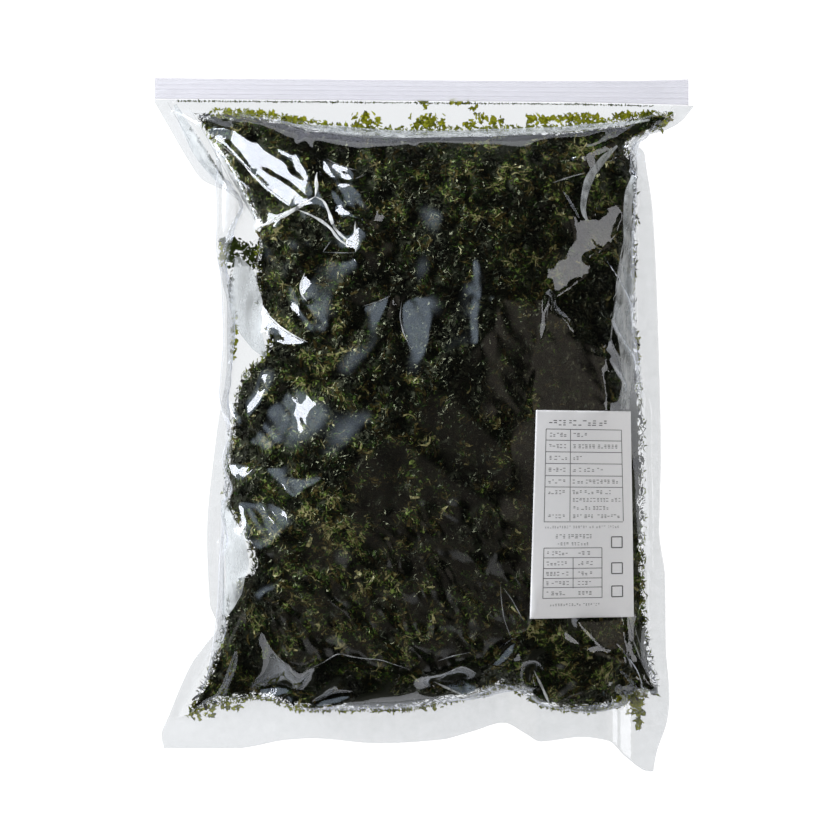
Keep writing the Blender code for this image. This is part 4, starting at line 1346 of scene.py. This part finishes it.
soft_box("lamp_left", (-1.25, 0.85, 0.62), (0.90, 0.60), 11.0, "#fbfcff")
soft_box("lamp_right", (1.30, 0.10, 0.62), (0.90, 0.35), 2.2, "#fffcf8")
soft_box("lamp_left_fill", (-1.45, 0.95, 0.90), (0.90, 0.60), 11.0, "#ffffff", mirrored=False)
soft_box("lamp_ceiling", (0.0, -0.1, 2.2), (2.00, 2.00), 1.9, "#ffffff", mirrored=False)

# The soft glows on the walls: which way each lies, how far it reaches in degrees, and its light.
WALL_GLOWS = [
    ((-0.66, 0.46, 0.55), 22, (1.30, 1.52, 1.70, 1.0)),
    ((0.0, -0.42, 0.90), 22, (0.12, 0.105, 0.085, 1.0)),
    ((0.0, -0.71, 0.70), 10, (0.48, 0.47, 0.44, 1.0)),
    ((0.66, -0.08, 0.75), 18, (0.30, 0.26, 0.21, 1.0)),
]
GLOW_FADE = 1.5         # a glow has faded out at so many times its reach

room = bpy.data.worlds.new("studio")
room.use_nodes = True
bpy.context.scene.world = room
room_tree = room.node_tree
room_tree.nodes.clear()
room_sight = add_node(room_tree, "ShaderNodeTexCoord").outputs["Generated"]
room_colour = (0.007, 0.007, 0.007, 1.0)
for wall_at, wall_reach, wall_light in WALL_GLOWS:
    toward = add_node(room_tree, "ShaderNodeVectorMath", {"operation": "DOT_PRODUCT"},
                      {0: room_sight, 1: Vector(wall_at).normalized()}).outputs["Value"]
    faded = math.cos(math.radians(GLOW_FADE * wall_reach))
    glow = add_node(room_tree, "ShaderNodeMapRange", {"interpolation_type": "SMOOTHSTEP"}, {
        "Value": toward, "From Min": faded, "From Max": 1.0}).outputs[0]
    glow = add_node(room_tree, "ShaderNodeMath", {"operation": "POWER"}, {0: glow, 1: 3.0}).outputs[0]
    room_colour = add_node(room_tree, "ShaderNodeMix", {"data_type": "RGBA"},
                           {0: glow, 6: room_colour, 7: wall_light}).outputs[2]
room_light = add_node(room_tree, "ShaderNodeBackground", inputs={"Color": room_colour})
room_output = add_node(room_tree, "ShaderNodeOutputWorld")
room_tree.links.new(room_light.outputs[0], room_output.inputs["Surface"])


# ---------------------------------------------------------------------------------------------------------
# The camera: it looks straight down from far enough away that the pouch's height hardly spreads it.
# ---------------------------------------------------------------------------------------------------------

VIEW_WIDTH = 0.4494     # how much of the table the square picture takes in
VIEW_CENTRE = (-0.00177, 0.00217)
SEAM_LEVEL = 0.010
LENS = 600.0
SENSOR = 36.0

camera_data = bpy.data.cameras.new("camera")
camera_data.lens = LENS
camera_data.sensor_width = SENSOR
camera = bpy.data.objects.new("camera", camera_data)
camera.location = (*VIEW_CENTRE, SEAM_LEVEL + VIEW_WIDTH * LENS / SENSOR)
camera_data.clip_end = 20.0
bpy.context.scene.collection.objects.link(camera)
bpy.context.scene.camera = camera
bpy.context.scene.view_settings.view_transform = "Standard"
